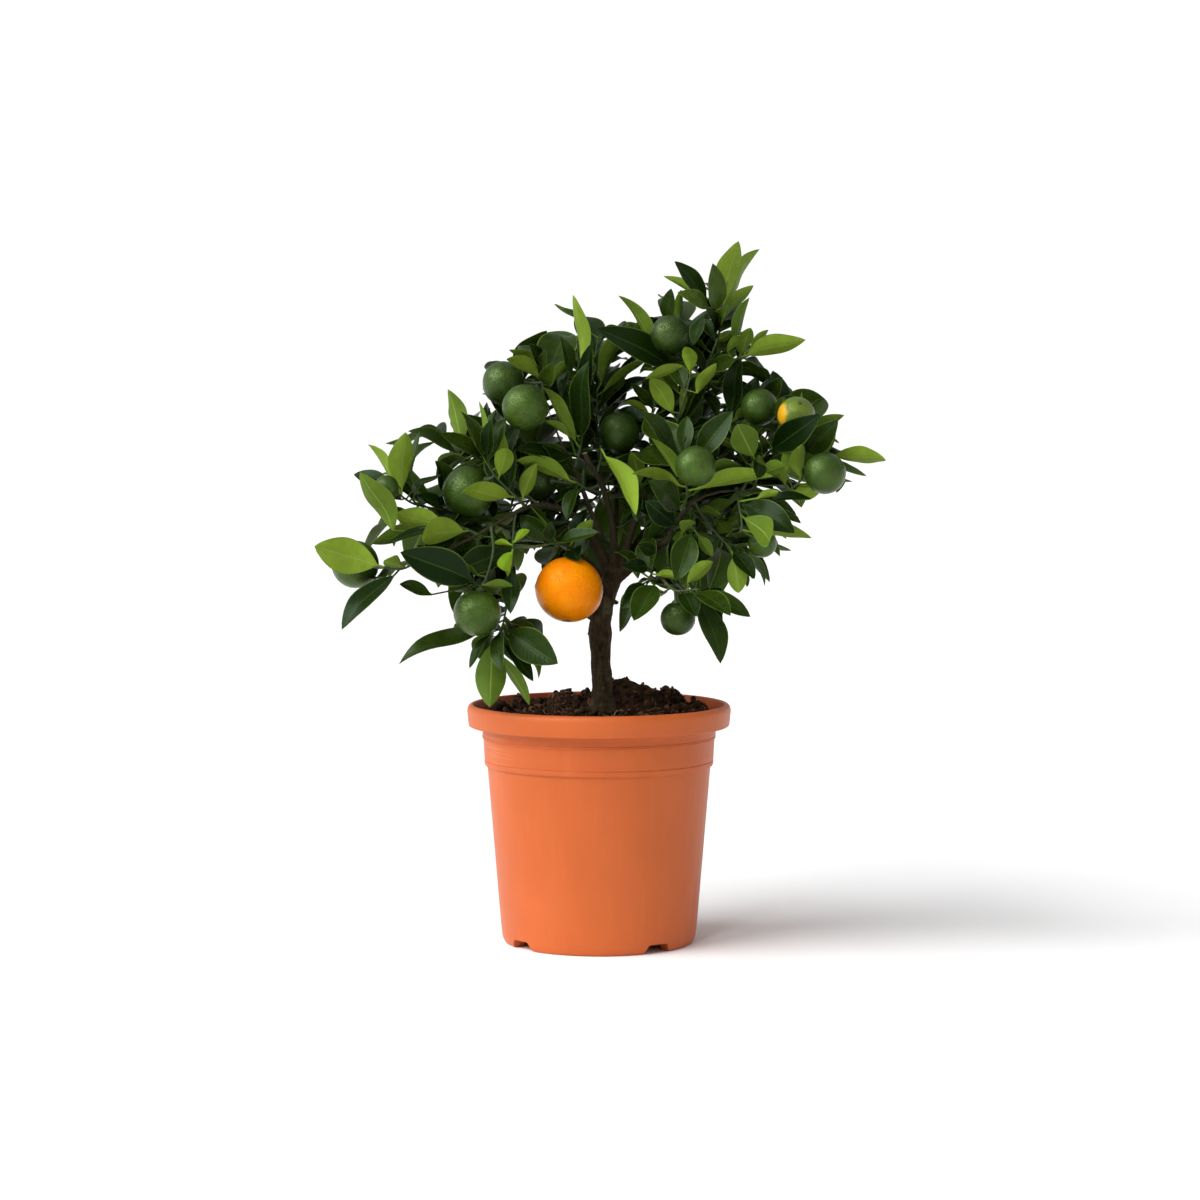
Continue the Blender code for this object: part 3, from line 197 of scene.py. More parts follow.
def finished(obj, mesh, nodes, slot, sharpAngle):  # the piece takes its nodes' place in the frame
    obj.data = mesh
    mesh.shade_smooth()
    mesh.set_sharp_from_angle(angle=math.radians(sharpAngle))
    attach(obj, "root")
    if nodes:
        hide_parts(*nodes)


# Finishes

def newMaterial(name):
    material = bpy.data.materials.new(name)
    material.use_nodes = True
    tree = material.node_tree
    return material, tree, tree.nodes["Principled BSDF"]


def shaderAttribute(tree, name, output="Fac"):
    return newField(tree, "ShaderNodeAttribute", (), output, attribute_name=name)


def objectPlace(tree):
    return newField(tree, "ShaderNodeTexCoord", (), "Object")


def cloud(place, scale, detail=3.0, roughness=0.55):
    return newField(place.tree, "ShaderNodeTexNoise",
                    {"Vector": place, "Scale": scale, "Detail": detail, "Roughness": roughness}, "Fac")


def stretched(place, factors):
    return newField(place.tree, "ShaderNodeMapping", {"Vector": place, "Scale": factors}, "Vector")


def blend(share, first, second):  # colours, or shares of one
    return newField(share.tree, "ShaderNodeMix", {0: share, 6: first, 7: second}, 2, data_type="RGBA")


def between(value, low, high, start=0.0, end=1.0):
    return newField(value.tree, "ShaderNodeMapRange",
                    {"Value": value, "From Min": low, "From Max": high, "To Min": start, "To Max": end},
                    "Result", interpolation_type="SMOOTHSTEP")


def raised(height, strength, distance):
    return newField(height.tree, "ShaderNodeBump",
                    {"Height": height, "Strength": strength, "Distance": distance}, "Normal")


leafColours = {
    "upperDark": (0.0036, 0.0115, 0.0013, 1),
    "upperYoung": (0.092, 0.156, 0.009, 1),
    "underDull": (0.026, 0.060, 0.006, 1),
    # the bright under side holds painted light shining through the leaf, besides the leaf's own colour
    "underBright": (0.175, 0.262, 0.021, 1),
    "lime": (0.24, 0.42, 0.02, 1),
    # painted highlight: a pale band on the leaf edges, standing in for the light that the edges catch
    "rim": (0.13, 0.20, 0.03, 1),
    "midribUpper": (0.035, 0.075, 0.012, 1),
    "midribUnder": (0.22, 0.30, 0.06, 1),
    "midribWidth": (0.075, 0.02),
    "rimLightFrom": (0.91, 0.975),
    "veins": (46, 9),  # how many along the blade, and their slant
    "shine": 0.14,
    "shineTint": (0.7, 1.0, 0.7, 1),
    "roughness": (0.55, 0.28),  # under side, upper side
    "relief": (0.28, 0.0004),
    "mottleScale": 240,
    "cellScale": 2600,
}


def leafFinish():
    material, tree, surface = newMaterial("leafFinish")
    along, across, side = shaderAttribute(tree, "leafPlace", "Vector").xyz()
    across = (across * 2).math("ABSOLUTE")
    tone = shaderAttribute(tree, "tone")
    place = objectPlace(tree)
    mottle = cloud(place, leafColours["mottleScale"])
    cells = cloud(place, leafColours["cellScale"], 2)
    # tone is each leaf's own colour and age together with painted shade on leaves that stood in shade and
    # painted light on under sides lit through
    upperTone = (tone ** 1.5) * between(mottle, 0.25, 0.75, 0.75, 1.15)
    upper = blend(upperTone, leafColours["upperDark"], leafColours["upperYoung"])
    underTone = (tone ** 1.3) * between(mottle, 0.25, 0.75, 0.85, 1.1)
    under = blend(underTone, leafColours["underDull"], leafColours["underBright"])
    under = blend(between(tone, 1.0, 1.3), under, leafColours["lime"])
    onMidrib = between(across, *leafColours["midribWidth"])
    upper = blend(onMidrib * 0.45, upper, leafColours["midribUpper"])
    under = blend(onMidrib * 0.55, under, leafColours["midribUnder"])
    colour = blend(between(side, -0.05, 0.05), under, upper)
    # painted highlight along the leaf edges, stronger on the lighter leaves
    paintedRimLight = between(across, *leafColours["rimLightFrom"])
    colour = blend(paintedRimLight * between(tone, 0.0, 0.8, 0.45, 0.8), colour, leafColours["rim"])
    veinCount, veinSlant = leafColours["veins"]
    veins = ((along * veinCount) - (across * veinSlant)).math("SINE").math("ABSOLUTE") ** 0.35
    relief = veins * 0.35 + between(across, 0.0, 0.10) * 0.8 + cells * 0.22 + mottle * 0.5
    roughness = between(side, -0.05, 0.05, *leafColours["roughness"]) + (mottle - 0.5) * 0.12
    setInputs(surface, {"Base Color": colour, "Roughness": roughness,
                        "Normal": raised(relief, *leafColours["relief"]),
                        "Specular IOR Level": leafColours["shine"],
                        "Specular Tint": leafColours["shineTint"]})
    return material


twigColours = {
    "green": (0.015, 0.032, 0.005, 1),
    "greenLight": (0.036, 0.064, 0.009, 1),
    "brown": (0.035, 0.026, 0.012, 1),
    "relief": (0.5, 0.0003),
    "patchScale": 420,
    "grainScale": 3000,
}


def twigFinish():
    material, tree, surface = newMaterial("twigFinish")
    place = objectPlace(tree)
    patches = cloud(place, twigColours["patchScale"])
    grain = cloud(place, twigColours["grainScale"], 2)
    green = blend(grain, twigColours["green"], twigColours["greenLight"])
    brownShare = between((patches - 0.5) * 0.9, 0.35, 0.75)
    setInputs(surface, {"Base Color": blend(brownShare, green, twigColours["brown"]),
                        "Roughness": between(patches, 0.2, 0.8, 0.45, 0.7),
                        "Normal": raised(grain + patches, *twigColours["relief"])})
    return material


barkColours = {
    "dark": (0.010, 0.0055, 0.002, 1),
    "middle": (0.052, 0.033, 0.013, 1),
    "pale": (0.100, 0.081, 0.046, 1),
    "greenish": (0.030, 0.0275, 0.0135, 1),
    "cutWood": (0.42, 0.27, 0.16, 1),
    "greenFrom": 0.172,
    "greenFull": 0.215,
    "shine": 0.15,
    "relief": (0.8, 0.0006),
    "fissures": (0.22, 900),  # squeezed along the trunk by this, and the scale
    "grain": (0.4, 4200),
    "rings": (0.15, 420),  # squeezed across it
    "patchScale": 150,
}


def barkFinish():
    material, tree, surface = newMaterial("barkFinish")
    place = objectPlace(tree)
    height = place.xyz()[2]
    fissureLength, fissureScale = barkColours["fissures"]
    grainLength, grainScale = barkColours["grain"]
    ringWidth, ringScale = barkColours["rings"]
    fissures = cloud(stretched(place, (1, 1, fissureLength)), fissureScale, 6, 0.65)
    patches = cloud(place, barkColours["patchScale"], 4)
    grain = cloud(stretched(place, (1, 1, grainLength)), grainScale, 3)
    rings = cloud(stretched(place, (ringWidth, ringWidth, 1)), ringScale, 3)
    colour = blend(between(fissures, 0.30, 0.68), barkColours["dark"], barkColours["middle"])
    for share, tint in (
            (between(patches, 0.5, 0.78, 0, 0.75), "pale"),
            (between(rings, 0.55, 0.75, 0, 0.35), "pale"),
            (between(height, barkColours["greenFrom"], barkColours["greenFull"], 0, 0.8), "greenish"),
            (between(shaderAttribute(tree, "cutFace"), 0.3, 0.7), "cutWood")):
        colour = blend(share, colour, barkColours[tint])
    relief = fissures + grain * 0.3 + rings * 0.3
    setInputs(surface, {"Base Color": colour, "Roughness": between(patches, 0.2, 0.8, 0.72, 0.9),
                        "Normal": raised(relief, *barkColours["relief"]),
                        "Specular IOR Level": barkColours["shine"]})
    return material


peelKinds = {  # shade, flesh and blush, the tint of the gloss, and how dark the pores are
    "green": [(0.012, 0.030, 0.002, 1), (0.034, 0.070, 0.005, 1), (0.095, 0.15, 0.014, 1),
              (0.7, 1.0, 0.4, 1), 0.2],
    "ripe": [(0.74, 0.175, 0.0, 1), (0.81, 0.24, 0.0, 1), (0.85, 0.32, 0.0, 1),
             (1.0, 0.6, 0.12, 1), 0.08],
    "turning": [(0.045, 0.085, 0.008, 1), (0.10, 0.15, 0.014, 1), (0.55, 0.28, 0.006, 1),
                (0.9, 1.0, 0.45, 1), 0.2],
}
peelForm = {
    # painted shade: the colour that the green fruits standing in shade are darkened towards
    "dark": (0.006, 0.016, 0.002, 1),
    "scar": (0.03, 0.03, 0.01, 1),
    "poreScale": 15,
    "patchScale": 1.6,
    "speckleScale": 16,
    "relief": (0.42, 0.0006),
    "shine": 0.55,
    "darkFruits": {"08": 0.75, "09": 0.5, "11": 0.6, "03": 0.3, "04": 0.4, "06": 0.75, "12": 0.3,
                   "13": 0.35, "02": 0.3},  # the green fruits that stand in shade, by number
}


def peelFinish(kind):
    material, tree, surface = newMaterial(kind + "Peel")
    shade, flesh, blush, shineTint, poreShade = peelKinds[kind]
    place = shaderAttribute(tree, "berryPlace", "Vector")
    pores = newField(tree, "ShaderNodeTexVoronoi", {"Vector": place, "Scale": peelForm["poreScale"]},
                     "Distance", feature="F1")
    pit = between(pores, 0.05, 0.5)
    patches = cloud(place, peelForm["patchScale"], 4)
    speckle = cloud(place, peelForm["speckleScale"], 3)
    colour = blend(between(patches, 0.3, 0.7), shade, flesh)
    if kind == "turning":
        blushShare = between(shaderAttribute(tree, "ripeSide") + (patches - 0.5) * 0.25, 0.76, 0.92)
    else:
        blushShare = between(speckle, 0.4, 0.9, 0, 0.3)
    colour = blend(blushShare, colour, blush)
    colour = blend(between(pit, 0.0, 1.0, poreShade, 0.0), colour, shade)
    # painted shade on the green fruits that stand in shade
    colour = blend(shaderAttribute(tree, "paintedShadeShare"), colour, peelForm["dark"])
    scar = between(place.xyz()[2], -0.988, -0.996)
    colour = blend(scar, colour, peelForm["scar"])
    setInputs(surface, {"Base Color": colour, "Roughness": between(speckle, 0.2, 0.8, 0.28, 0.35),
                        "Normal": raised(pit * 1.0 + speckle * 0.4, *peelForm["relief"]),
                        "Specular IOR Level": peelForm["shine"], "Specular Tint": shineTint})
    return material


potColours = {
    "clay": (0.47, 0.094, 0.019, 1),
    "warm": (0.53, 0.112, 0.024, 1),
    "deep": (0.43, 0.084, 0.017, 1),
    "dust": (0.72, 0.36, 0.20, 1),
    "speck": (0.16, 0.06, 0.03, 1),
    "speckPlace": (0.0478, -0.0307, 0.0879),
    "speckSize": 0.0011,
    "scuffHeights": (0.086, 0.093, 0.108, 0.103),  # the band of fine rub marks: where it starts and ends
    "shine": 0.4,
    "shineTint": (1.0, 0.8, 0.62, 1),
    "relief": (0.16, 0.0002),
    "broadScale": 14,
    "streaks": (0.06, 260),  # squeezed along the wall by this, and the scale
    "turning": (0.02, 900),  # squeezed around it
    "fineScale": 3200,
}


def potFinish():
    material, tree, surface = newMaterial("potFinish")
    place = objectPlace(tree)
    streakLength, streakScale = potColours["streaks"]
    turningWidth, turningScale = potColours["turning"]
    broad = cloud(place, potColours["broadScale"], 3)
    streaks = cloud(stretched(place, (1, 1, streakLength)), streakScale, 4)
    turning = cloud(stretched(place, (turningWidth, turningWidth, 1)), turningScale, 3)
    fine = cloud(place, potColours["fineScale"], 2)
    colour = blend(between(broad, 0.3, 0.7), potColours["deep"], potColours["warm"])
    height = place.xyz()[2]
    scuffFrom, scuffFull, scuffEnd, scuffFading = potColours["scuffHeights"]
    scuffed = between(turning, 0.5, 0.72, 0, 0.22) * between(height, scuffFrom, scuffFull)
    scuffed = scuffed * between(height, scuffEnd, scuffFading) * between(broad, 0.42, 0.6)
    away = (place - potColours["speckPlace"]).vectorMath("LENGTH")
    speckSize = potColours["speckSize"]
    for share, tint in (
            (between(streaks, 0.25, 0.75, 0.15, 0.75), "clay"),
            (between(streaks + fine * 0.4, 0.72, 1.05) * between(height, 0.02, 0.0, 0.04, 0.15), "dust"),
            (scuffed, "dust"),
            (between(away, speckSize, speckSize * 0.4, 0, 0.7), "speck")):
        colour = blend(share, colour, potColours[tint])
    roughness = between(broad * 0.5 + streaks * 0.5, 0.3, 0.7, 0.40, 0.50)
    relief = fine * 0.5 + turning * 0.35 + streaks * 0.2
    setInputs(surface, {"Base Color": colour, "Roughness": roughness,
                        "Normal": raised(relief, *potColours["relief"]),
                        "Specular IOR Level": potColours["shine"],
                        "Specular Tint": potColours["shineTint"]})
    return material


soilColours = {
    "black": (0.006, 0.0032, 0.002, 1),
    "peat": (0.050, 0.022, 0.010, 1),
    "bark": (0.16, 0.070, 0.032, 1),
    "fibre": (0.30, 0.22, 0.13, 1),
    "moss": (0.060, 0.062, 0.018, 1),
    "shine": 0.12,
    "relief": (0.9, 0.0007),
    "clodScale": 260,
    "gritScale": 2400,
    "mossScale": 60,
    "fibreScale": 1500,
}


def soilFinish():
    material, tree, surface = newMaterial("soilFinish")
    place = objectPlace(tree)
    shade = shaderAttribute(tree, "shade")
    clods = cloud(place, soilColours["clodScale"], 4)
    grit = cloud(place, soilColours["gritScale"], 4, 0.7)
    colour = blend(between(clods, 0.3, 0.65), soilColours["black"], soilColours["peat"])
    colour = blend(between(shade + (grit - 0.5) * 0.3, 0.55, 0.92), colour, soilColours["bark"])
    moss = cloud(place, soilColours["mossScale"], 2)
    mossy = between(moss, 0.52, 0.68, 0, 0.7) * between(grit, 0.45, 0.6)
    colour = blend(mossy, colour, soilColours["moss"])
    setInputs(surface, {"Base Color": colour, "Roughness": between(grit, 0.2, 0.8, 0.8, 0.98),
                        "Normal": raised(grit + clods, *soilColours["relief"]),
                        "Specular IOR Level": soilColours["shine"]})
    return material


def fibreFinish():
    material, tree, surface = newMaterial("fibreFinish")
    grain = cloud(objectPlace(tree), soilColours["fibreScale"], 3)
    pale = between(shaderAttribute(tree, "shade") + (grain - 0.5) * 0.4, 0.1, 0.9)
    setInputs(surface, {"Base Color": blend(pale, soilColours["bark"], soilColours["fibre"]),
                        "Roughness": between(grain, 0.2, 0.8, 0.6, 0.85)})
    return material


finishes = {"leaf": leafFinish(), "twig": twigFinish(), "bark": barkFinish(), "pot": potFinish(),
            "soil": soilFinish(), "fibre": fibreFinish()}
finishes.update({kind: peelFinish(kind) for kind in peelKinds})
print("finishes made:", len(finishes))


# Pot: a turned wall with a rolled rim, two pairs of fine rings, drain notches and holes

potForm = {  # millimetres; corners are (radius, height, rounding), from the inner floor over the rim
    "turnSteps": 128,
    "cornerSteps": 4,
    "wallStep": 6,
    "inside": [(0, 6, 0), (47.33, 6, 3.5), (54.2, 88.5, 3), (55.4, 92.5, 3), (56.6, 107, 3),
               (62.6, 110.5, 1.5), (63.1, 120, 0.8)],
    "rim": [(64.6, 120, 0.8), (65.9, 118.7, 1.0), (66.2, 116.8, 1.0), (65.4, 109.2, 0.9),
            (64.2, 108.95, 0.6), (58.8, 108.3, 1.2)],
    "rings": [(58.5, 104.3, 0.2), (58.75, 104.1, 0.1), (58.7, 103.75, 0.1), (58.4, 103.55, 0.1),
              (58.6, 103.3, 0.1), (58.5, 102.9, 0.1), (58.05, 102.6, 0.2), (57.5, 92.35, 0.2),
              (57.2, 92.05, 0.1), (57.55, 91.7, 0.1), (57.4, 89.6, 0.5), (56.15, 88.75, 0.35),
              (56.0, 88.2, 0.4)],
    "foot": [(49.3, 8, 3), (48.6, 2.6, 1.5), (47.6, 0.5, 0.6), (46.7, 0, 0.4)],
    "under": [(41.7, 0, 0.5), (41.2, 3.4, 0.8), (0, 3.4, 0)],
    "notchAngles": (-53, 37, 127, 217),
    "notchWidth": 15.5,
    "notchNarrowing": (0.72, 1.12),  # share of the width at the top and at the foot
    "notchReach": (-56, -36),
    "notchHeights": (4.6, -1),
    "notchRounding": 1.1,
    "drainCount": 5,
    "drainRadius": 4,
    "drainReach": 28,
    "drainHeight": 4.4,
    "drainLength": 12,
}


def roundedProfile(corners, steps):  # a polyline with each corner eased by its own rounding
    places = [Vector((radius, height)) for radius, height, _ in corners]
    line = [places[0]]
    for before, here, after, (_, _, ease) in zip(places, places[1:], places[2:], corners[1:]):
        toBefore, toAfter = before - here, after - here
        reach = min(ease, toBefore.length * 0.49, toAfter.length * 0.49)
        start = here + toBefore.normalized() * reach
        end = here + toAfter.normalized() * reach
        for step in range(steps + 1):
            share = step / steps
            line.append(start.lerp(here, share).lerp(here.lerp(end, share), share))
    return line + [places[-1]]


def notchCutter(angle):
    shape = bmesh.new()
    bmesh.ops.create_cube(shape, size=1)
    for vert in shape.verts:
        top = vert.co.z > 0
        vert.co.x *= potForm["notchWidth"] * potForm["notchNarrowing"][0 if top else 1]
        vert.co.y = potForm["notchReach"][0 if vert.co.y < 0 else 1]
        vert.co.z = potForm["notchHeights"][0 if top else 1]
    eased = [edge for edge in shape.edges if all(vert.co.z > 0 for vert in edge.verts)
             and abs(edge.verts[0].co.x - edge.verts[1].co.x) < 0.01]
    bmesh.ops.bevel(shape, geom=eased, offset=potForm["notchRounding"], segments=4, profile=0.5,
                    affect="EDGES")
    bmesh.ops.transform(shape, matrix=Matrix.Rotation(math.radians(angle), 4, "Z")
                        @ Matrix.Scale(millimetre, 4), verts=shape.verts)
    return newObject("notch", meshFrom("notch", shape))


def drainCutter(index):  # the last hole is in the middle
    angle = math.radians(90 * index + 45)
    reach = 0 if index == potForm["drainCount"] - 1 else potForm["drainReach"]
    place = Vector((reach * math.cos(angle), reach * math.sin(angle), potForm["drainHeight"])) * millimetre
    radius = potForm["drainRadius"] * millimetre
    shape = bmesh.new()
    bmesh.ops.create_cone(shape, cap_ends=True, segments=28, radius1=radius, radius2=radius,
                          depth=potForm["drainLength"] * millimetre, matrix=Matrix.Translation(place))
    return newObject("drain", meshFrom("drain", shape))


def makePot():
    corners = potForm["inside"] + potForm["rim"] + potForm["rings"] + potForm["foot"] + potForm["under"]
    line = roundedProfile(corners, potForm["cornerSteps"])
    wallLine = []
    for start, end in zip(line, line[1:]):
        spans = max(1, round((end - start).length / potForm["wallStep"]))
        wallLine += [start.lerp(end, step / spans) for step in range(spans)]
    wallLine.append(line[-1])
    mesh = bpy.data.meshes.new("pot_shell")
    mesh.from_pydata([(place.x * millimetre, 0, place.y * millimetre) for place in wallLine],
                     [(step, step + 1) for step in range(len(wallLine) - 1)], [])
    pot = newObject("pot_shell", mesh)
    turned = pot.modifiers.new("turned", "SCREW")
    turned.steps = turned.render_steps = potForm["turnSteps"]
    turned.use_merge_vertices = True
    turned.merge_threshold = 0.000001
    turned.use_normal_calculate = True
    cutters = [notchCutter(angle) for angle in potForm["notchAngles"]]
    cutters += [drainCutter(index) for index in range(potForm["drainCount"])]
    for cutter in cutters:
        cut = pot.modifiers.new(cutter.name, "BOOLEAN")
        cut.operation = "DIFFERENCE"
        cut.solver = "EXACT"
        cut.object = cutter
    shell = plainMesh(pot)
    for cutter in cutters:
        bpy.data.objects.remove(cutter)
    shell.materials.clear()
    shell.materials.append(finishes["pot"])
    finished(pot, shell, ["pot"], "pot_plastic", 38)
    print("pot turned:", len(shell.polygons), "faces")


makePot()


# Compost: a filled bed with crumbs, bark chips and fine root threads

soilForm = {  # millimetres; a heap is (across, depth, height, length, width)
    "level": 114.2,
    "rimLevel": 111.5,
    "reach": 62.1,
    "holeRadius": 6.2,
    "holeFloor": 62,
    "trunkAcross": 1.8,
    "trunkClear": (17, 7),  # no heap within this of the trunk, and how far it takes to rise there
    "rimClear": (61, 8),
    "roughClear": (61.5, 2),
    "heaps": [(11.5, 23, 16.5, 17, 9), (-13, 28, 5, 14, 9)],
    "looseHeaps": [(40, 33, 10, 7, 7), (28, 32, 8, 9, 8), (50, 16, 7, 7, 9), (53, 0, 4, 6, 9),
                   (-43, 31, 8, 6, 6), (-33, 36, 4, 9, 7), (-20, 38, 4, 9, 7), (-50, 14, 6, 7, 10),
                   (-54, 0, 4, 5, 9)],
    "lumps": {"count": 14, "reach": (27, 54), "size": (4, 8), "height": (1.2, 3.4)},
    "side": [(46.9, 6.3), (53.9, 88.5), (55.1, 92.5), (56.3, 107.4), (62.2, 110.9)],
    "turnSteps": 160,
    "topRings": 46,
    "roughness": 0.75,
    "roughScale": 0.33,
    "roughFractal": (0.6, 2.1, 5),
    "bedShade": 0.15,
    "crumbSquash": ((0.6, 0.6, 0.45), (1.3, 1.0, 0.9)),
    "crumbTurn": ((0, 0, 0), (6.2, 6.2, 6.2)),
    "crumbRoughness": (0.55, 1.9),  # how fine and how deep
    "chunks": (360, 0.0011, 0.0027, 3, 2),  # count, smallest and largest in metres, seed, subdivisions
    "crumbs": (850, 0.0006, 0.0013, 11, 2),
    "grains": (2400, 0.0003, 0.0007, 19, 1),
}


def ramp(share):
    return min(1, max(0, share))


def soilLumps():
    rng = random.Random("soil")
    lumps = list(soilForm["heaps"])
    form = soilForm["lumps"]
    for _ in range(form["count"]):
        angle = rng.uniform(0, 2 * math.pi)
        reach = rng.uniform(*form["reach"])
        size = rng.uniform(*form["size"])
        lumps.append((reach * math.cos(angle), reach * math.sin(angle), rng.uniform(*form["height"]),
                      size, size))
    return lumps + soilForm["looseHeaps"]


soilLumpList = soilLumps()


def soilHeight(x, y):  # level at the trunk, heaped behind it, sloping down to the rim
    radius = math.hypot(x, y)
    slope = soilForm["rimLevel"] - soilForm["level"]
    level = soilForm["level"] + slope * min(1, (radius / soilForm["reach"]) ** 2)
    trunkStart, trunkOver = soilForm["trunkClear"]
    heapStart, heapOver = soilForm["rimClear"]
    roughStart, roughOver = soilForm["roughClear"]
    away = ramp((math.hypot(x - soilForm["trunkAcross"], y) - trunkStart) / trunkOver)
    edge = ramp((heapStart - radius) / heapOver)
    rise = 0
    for across, depth, height, length, width in soilLumpList:
        rise += height * math.exp(-((x - across) / length) ** 2 - ((y - depth) / width) ** 2)
    rough = noise.fractal(Vector((x, y, 0)) * soilForm["roughScale"], *soilForm["roughFractal"])
    rough *= soilForm["roughness"]
    return level + rise * away * edge + rough * ramp((roughStart - radius) / roughOver)


def soilBed():
    steps, topRings = soilForm["turnSteps"], soilForm["topRings"]
    rings = [[(radius, 0, height)] * steps for radius, height in soilForm["side"]]
    bedStart = len(rings)
    inner = soilForm["holeRadius"] + 0.3
    for ring in range(topRings):
        share = ring / (topRings - 1)
        rings.append([(soilForm["reach"] + (inner - soilForm["reach"]) * share, share, None)] * steps)
    for height in (soilForm["level"] - 0.6, soilForm["holeFloor"]):
        rings.append([(soilForm["holeRadius"], 1, height)] * steps)
    verts, bed = [], []
    for index, ring in enumerate(rings):
        for step, (radius, shift, height) in enumerate(ring):
            angle = 2 * math.pi * step / steps
            x = soilForm["trunkAcross"] * shift + radius * math.cos(angle)
            y = radius * math.sin(angle)
            onTop = height is None
            verts.append(Vector((x, y, soilHeight(x, y) if onTop else height)) * millimetre)
            bed.append(1.0 if onTop and bedStart < index < bedStart + topRings - 1 else 0.0)
    faces = []
    for ring in range(len(rings) - 1):
        for step in range(steps):
            a, b = ring * steps + step, ring * steps + (step + 1) % steps
            faces.append((a, b, b + steps, a + steps))
    faces.append(tuple(reversed(range(steps))))
    faces.append(tuple(range((len(rings) - 1) * steps, len(rings) * steps)))
    mesh = bpy.data.meshes.new("soil_bed")
    mesh.from_pydata(verts, [], faces)
    keepValues(mesh, "bed", bed)
    return mesh


def drawn(tree, seed, low, high):  # a random number or vector for each point
    vector = isinstance(low, tuple)
    return newField(tree, "FunctionNodeRandomValue",
                    {0 if vector else 2: low, 1 if vector else 3: high, "Seed": seed}, 0 if vector else 1,
                    data_type="FLOAT_VECTOR" if vector else "FLOAT")


def scatterCrumbs(tree, bed, count, smallest, largest, seed, subdivisions):
    area = math.pi * (soilForm["reach"] * millimetre) ** 2
    spread = addNode(tree, "GeometryNodeDistributePointsOnFaces",
                     {"Mesh": bed, "Density": attribute(tree, "bed") * (count / area), "Seed": seed})
    size = drawn(tree, seed + 1, 0.0, 1.0)
    shade = drawn(tree, seed + 2, 0.0, 1.0)
    turn = drawn(tree, seed + 3, *soilForm["crumbTurn"])
    squash = drawn(tree, seed + 4, *soilForm["crumbSquash"])
    fineness, depth = soilForm["crumbRoughness"]
    radius = (size ** 2.0) * (largest - smallest) + smallest
    points = keepAttribute(tree, spread.outputs["Points"], "shade", shade, "FLOAT")
    points = keepAttribute(tree, points, "crumbRadius", radius, "FLOAT")
    ball = addNode(tree, "GeometryNodeMeshIcoSphere", {"Radius": 1.0, "Subdivisions": subdivisions})
    placed = newField(tree, "GeometryNodeInstanceOnPoints",
                      {"Points": points, "Instance": ball.outputs["Mesh"], "Scale": squash * radius,
                       "Rotation": newField(tree, "FunctionNodeEulerToRotation", {0: turn})})
    real = newField(tree, "GeometryNodeRealizeInstances", {0: placed})
    rough = newField(tree, "ShaderNodeTexNoise",
                     {"Vector": newField(tree, "GeometryNodeInputPosition"), "Scale": fineness / largest,
                      "Detail": 2.0}, "Color")
    shove = rough.vectorMath("SUBTRACT", (0.5, 0.5, 0.35)) * (attribute(tree, "crumbRadius") * depth)
    return newField(tree, "GeometryNodeSetPosition", {"Geometry": real, "Offset": shove})


def makeSoil():
    bed = newObject("soil_bed", soilBed())
    tree, entry, _ = openTree("soilCrumbs")
    joined = addNode(tree, "GeometryNodeJoinGeometry")
    tree.links.new(keepAttribute(tree, entry, "shade", soilForm["bedShade"], "FLOAT"), joined.inputs[0])
    for name in ("chunks", "crumbs", "grains"):
        tree.links.new(scatterCrumbs(tree, entry, *soilForm[name]).socket, joined.inputs[0])
    useTree(bed, closeTree(tree, joined.outputs[0], finishes["soil"]), {})
    mesh = plainMesh(bed)
    finished(bed, mesh, ["soil"], "soil", 60)
    print("soil filled:", len(mesh.polygons), "faces")


makeSoil()


def tubeTree():  # edges with a "stemRadius" become closed round stems
    tree, entry, given = openTree("roundStems", [("Sides", "Int", 8), ("Finish", "Material", None)])
    curve = newField(tree, "GeometryNodeMeshToCurve", {0: entry})
    ring = newField(tree, "GeometryNodeCurvePrimitiveCircle", {"Resolution": given["Sides"], "Radius": 1.0},
                    "Curve")
    tubes = newField(tree, "GeometryNodeCurveToMesh",
                     {"Curve": curve, "Profile Curve": ring, "Scale": attribute(tree, "stemRadius"),
                      "Fill Caps": True})
    return closeTree(tree, tubes, given["Finish"])


stemTree = tubeTree()


def chainMesh(name, chains):  # each chain is a list of (place, radius)
    verts, edges, radii = [], [], []
    for chain in chains:
        for step, (place, radius) in enumerate(chain):
            if step:
                edges.append((len(verts) - 1, len(verts)))
            verts.append(place)
            radii.append(radius)
    mesh = bpy.data.meshes.new(name)
    mesh.from_pydata(verts, edges, [])
    keepValues(mesh, "stemRadius", radii)
    return mesh


threadForm = {  # millimetres
    "count": 70,
    "reach": (14, 57),
    "thick": (0.10, 0.24),
    "shades": (0.1, 0.3, 0.5, 0.9),
    "steps": (5, 9),
    "stepLength": 1.5,
    "wander": 0.55,
    "farthest": 59,
    "trunkClear": 9,
    "lift": 0.5,
    "liftSpread": (-0.4, 0.8),
    "long": [(12.5, -4, 116.4), (11, -5.5, 117.2), (9.2, -7, 117), (8.2, -9, 116.4), (7.4, -11, 115)],
    "longThick": 0.25,
    "longShade": 0.95,
}


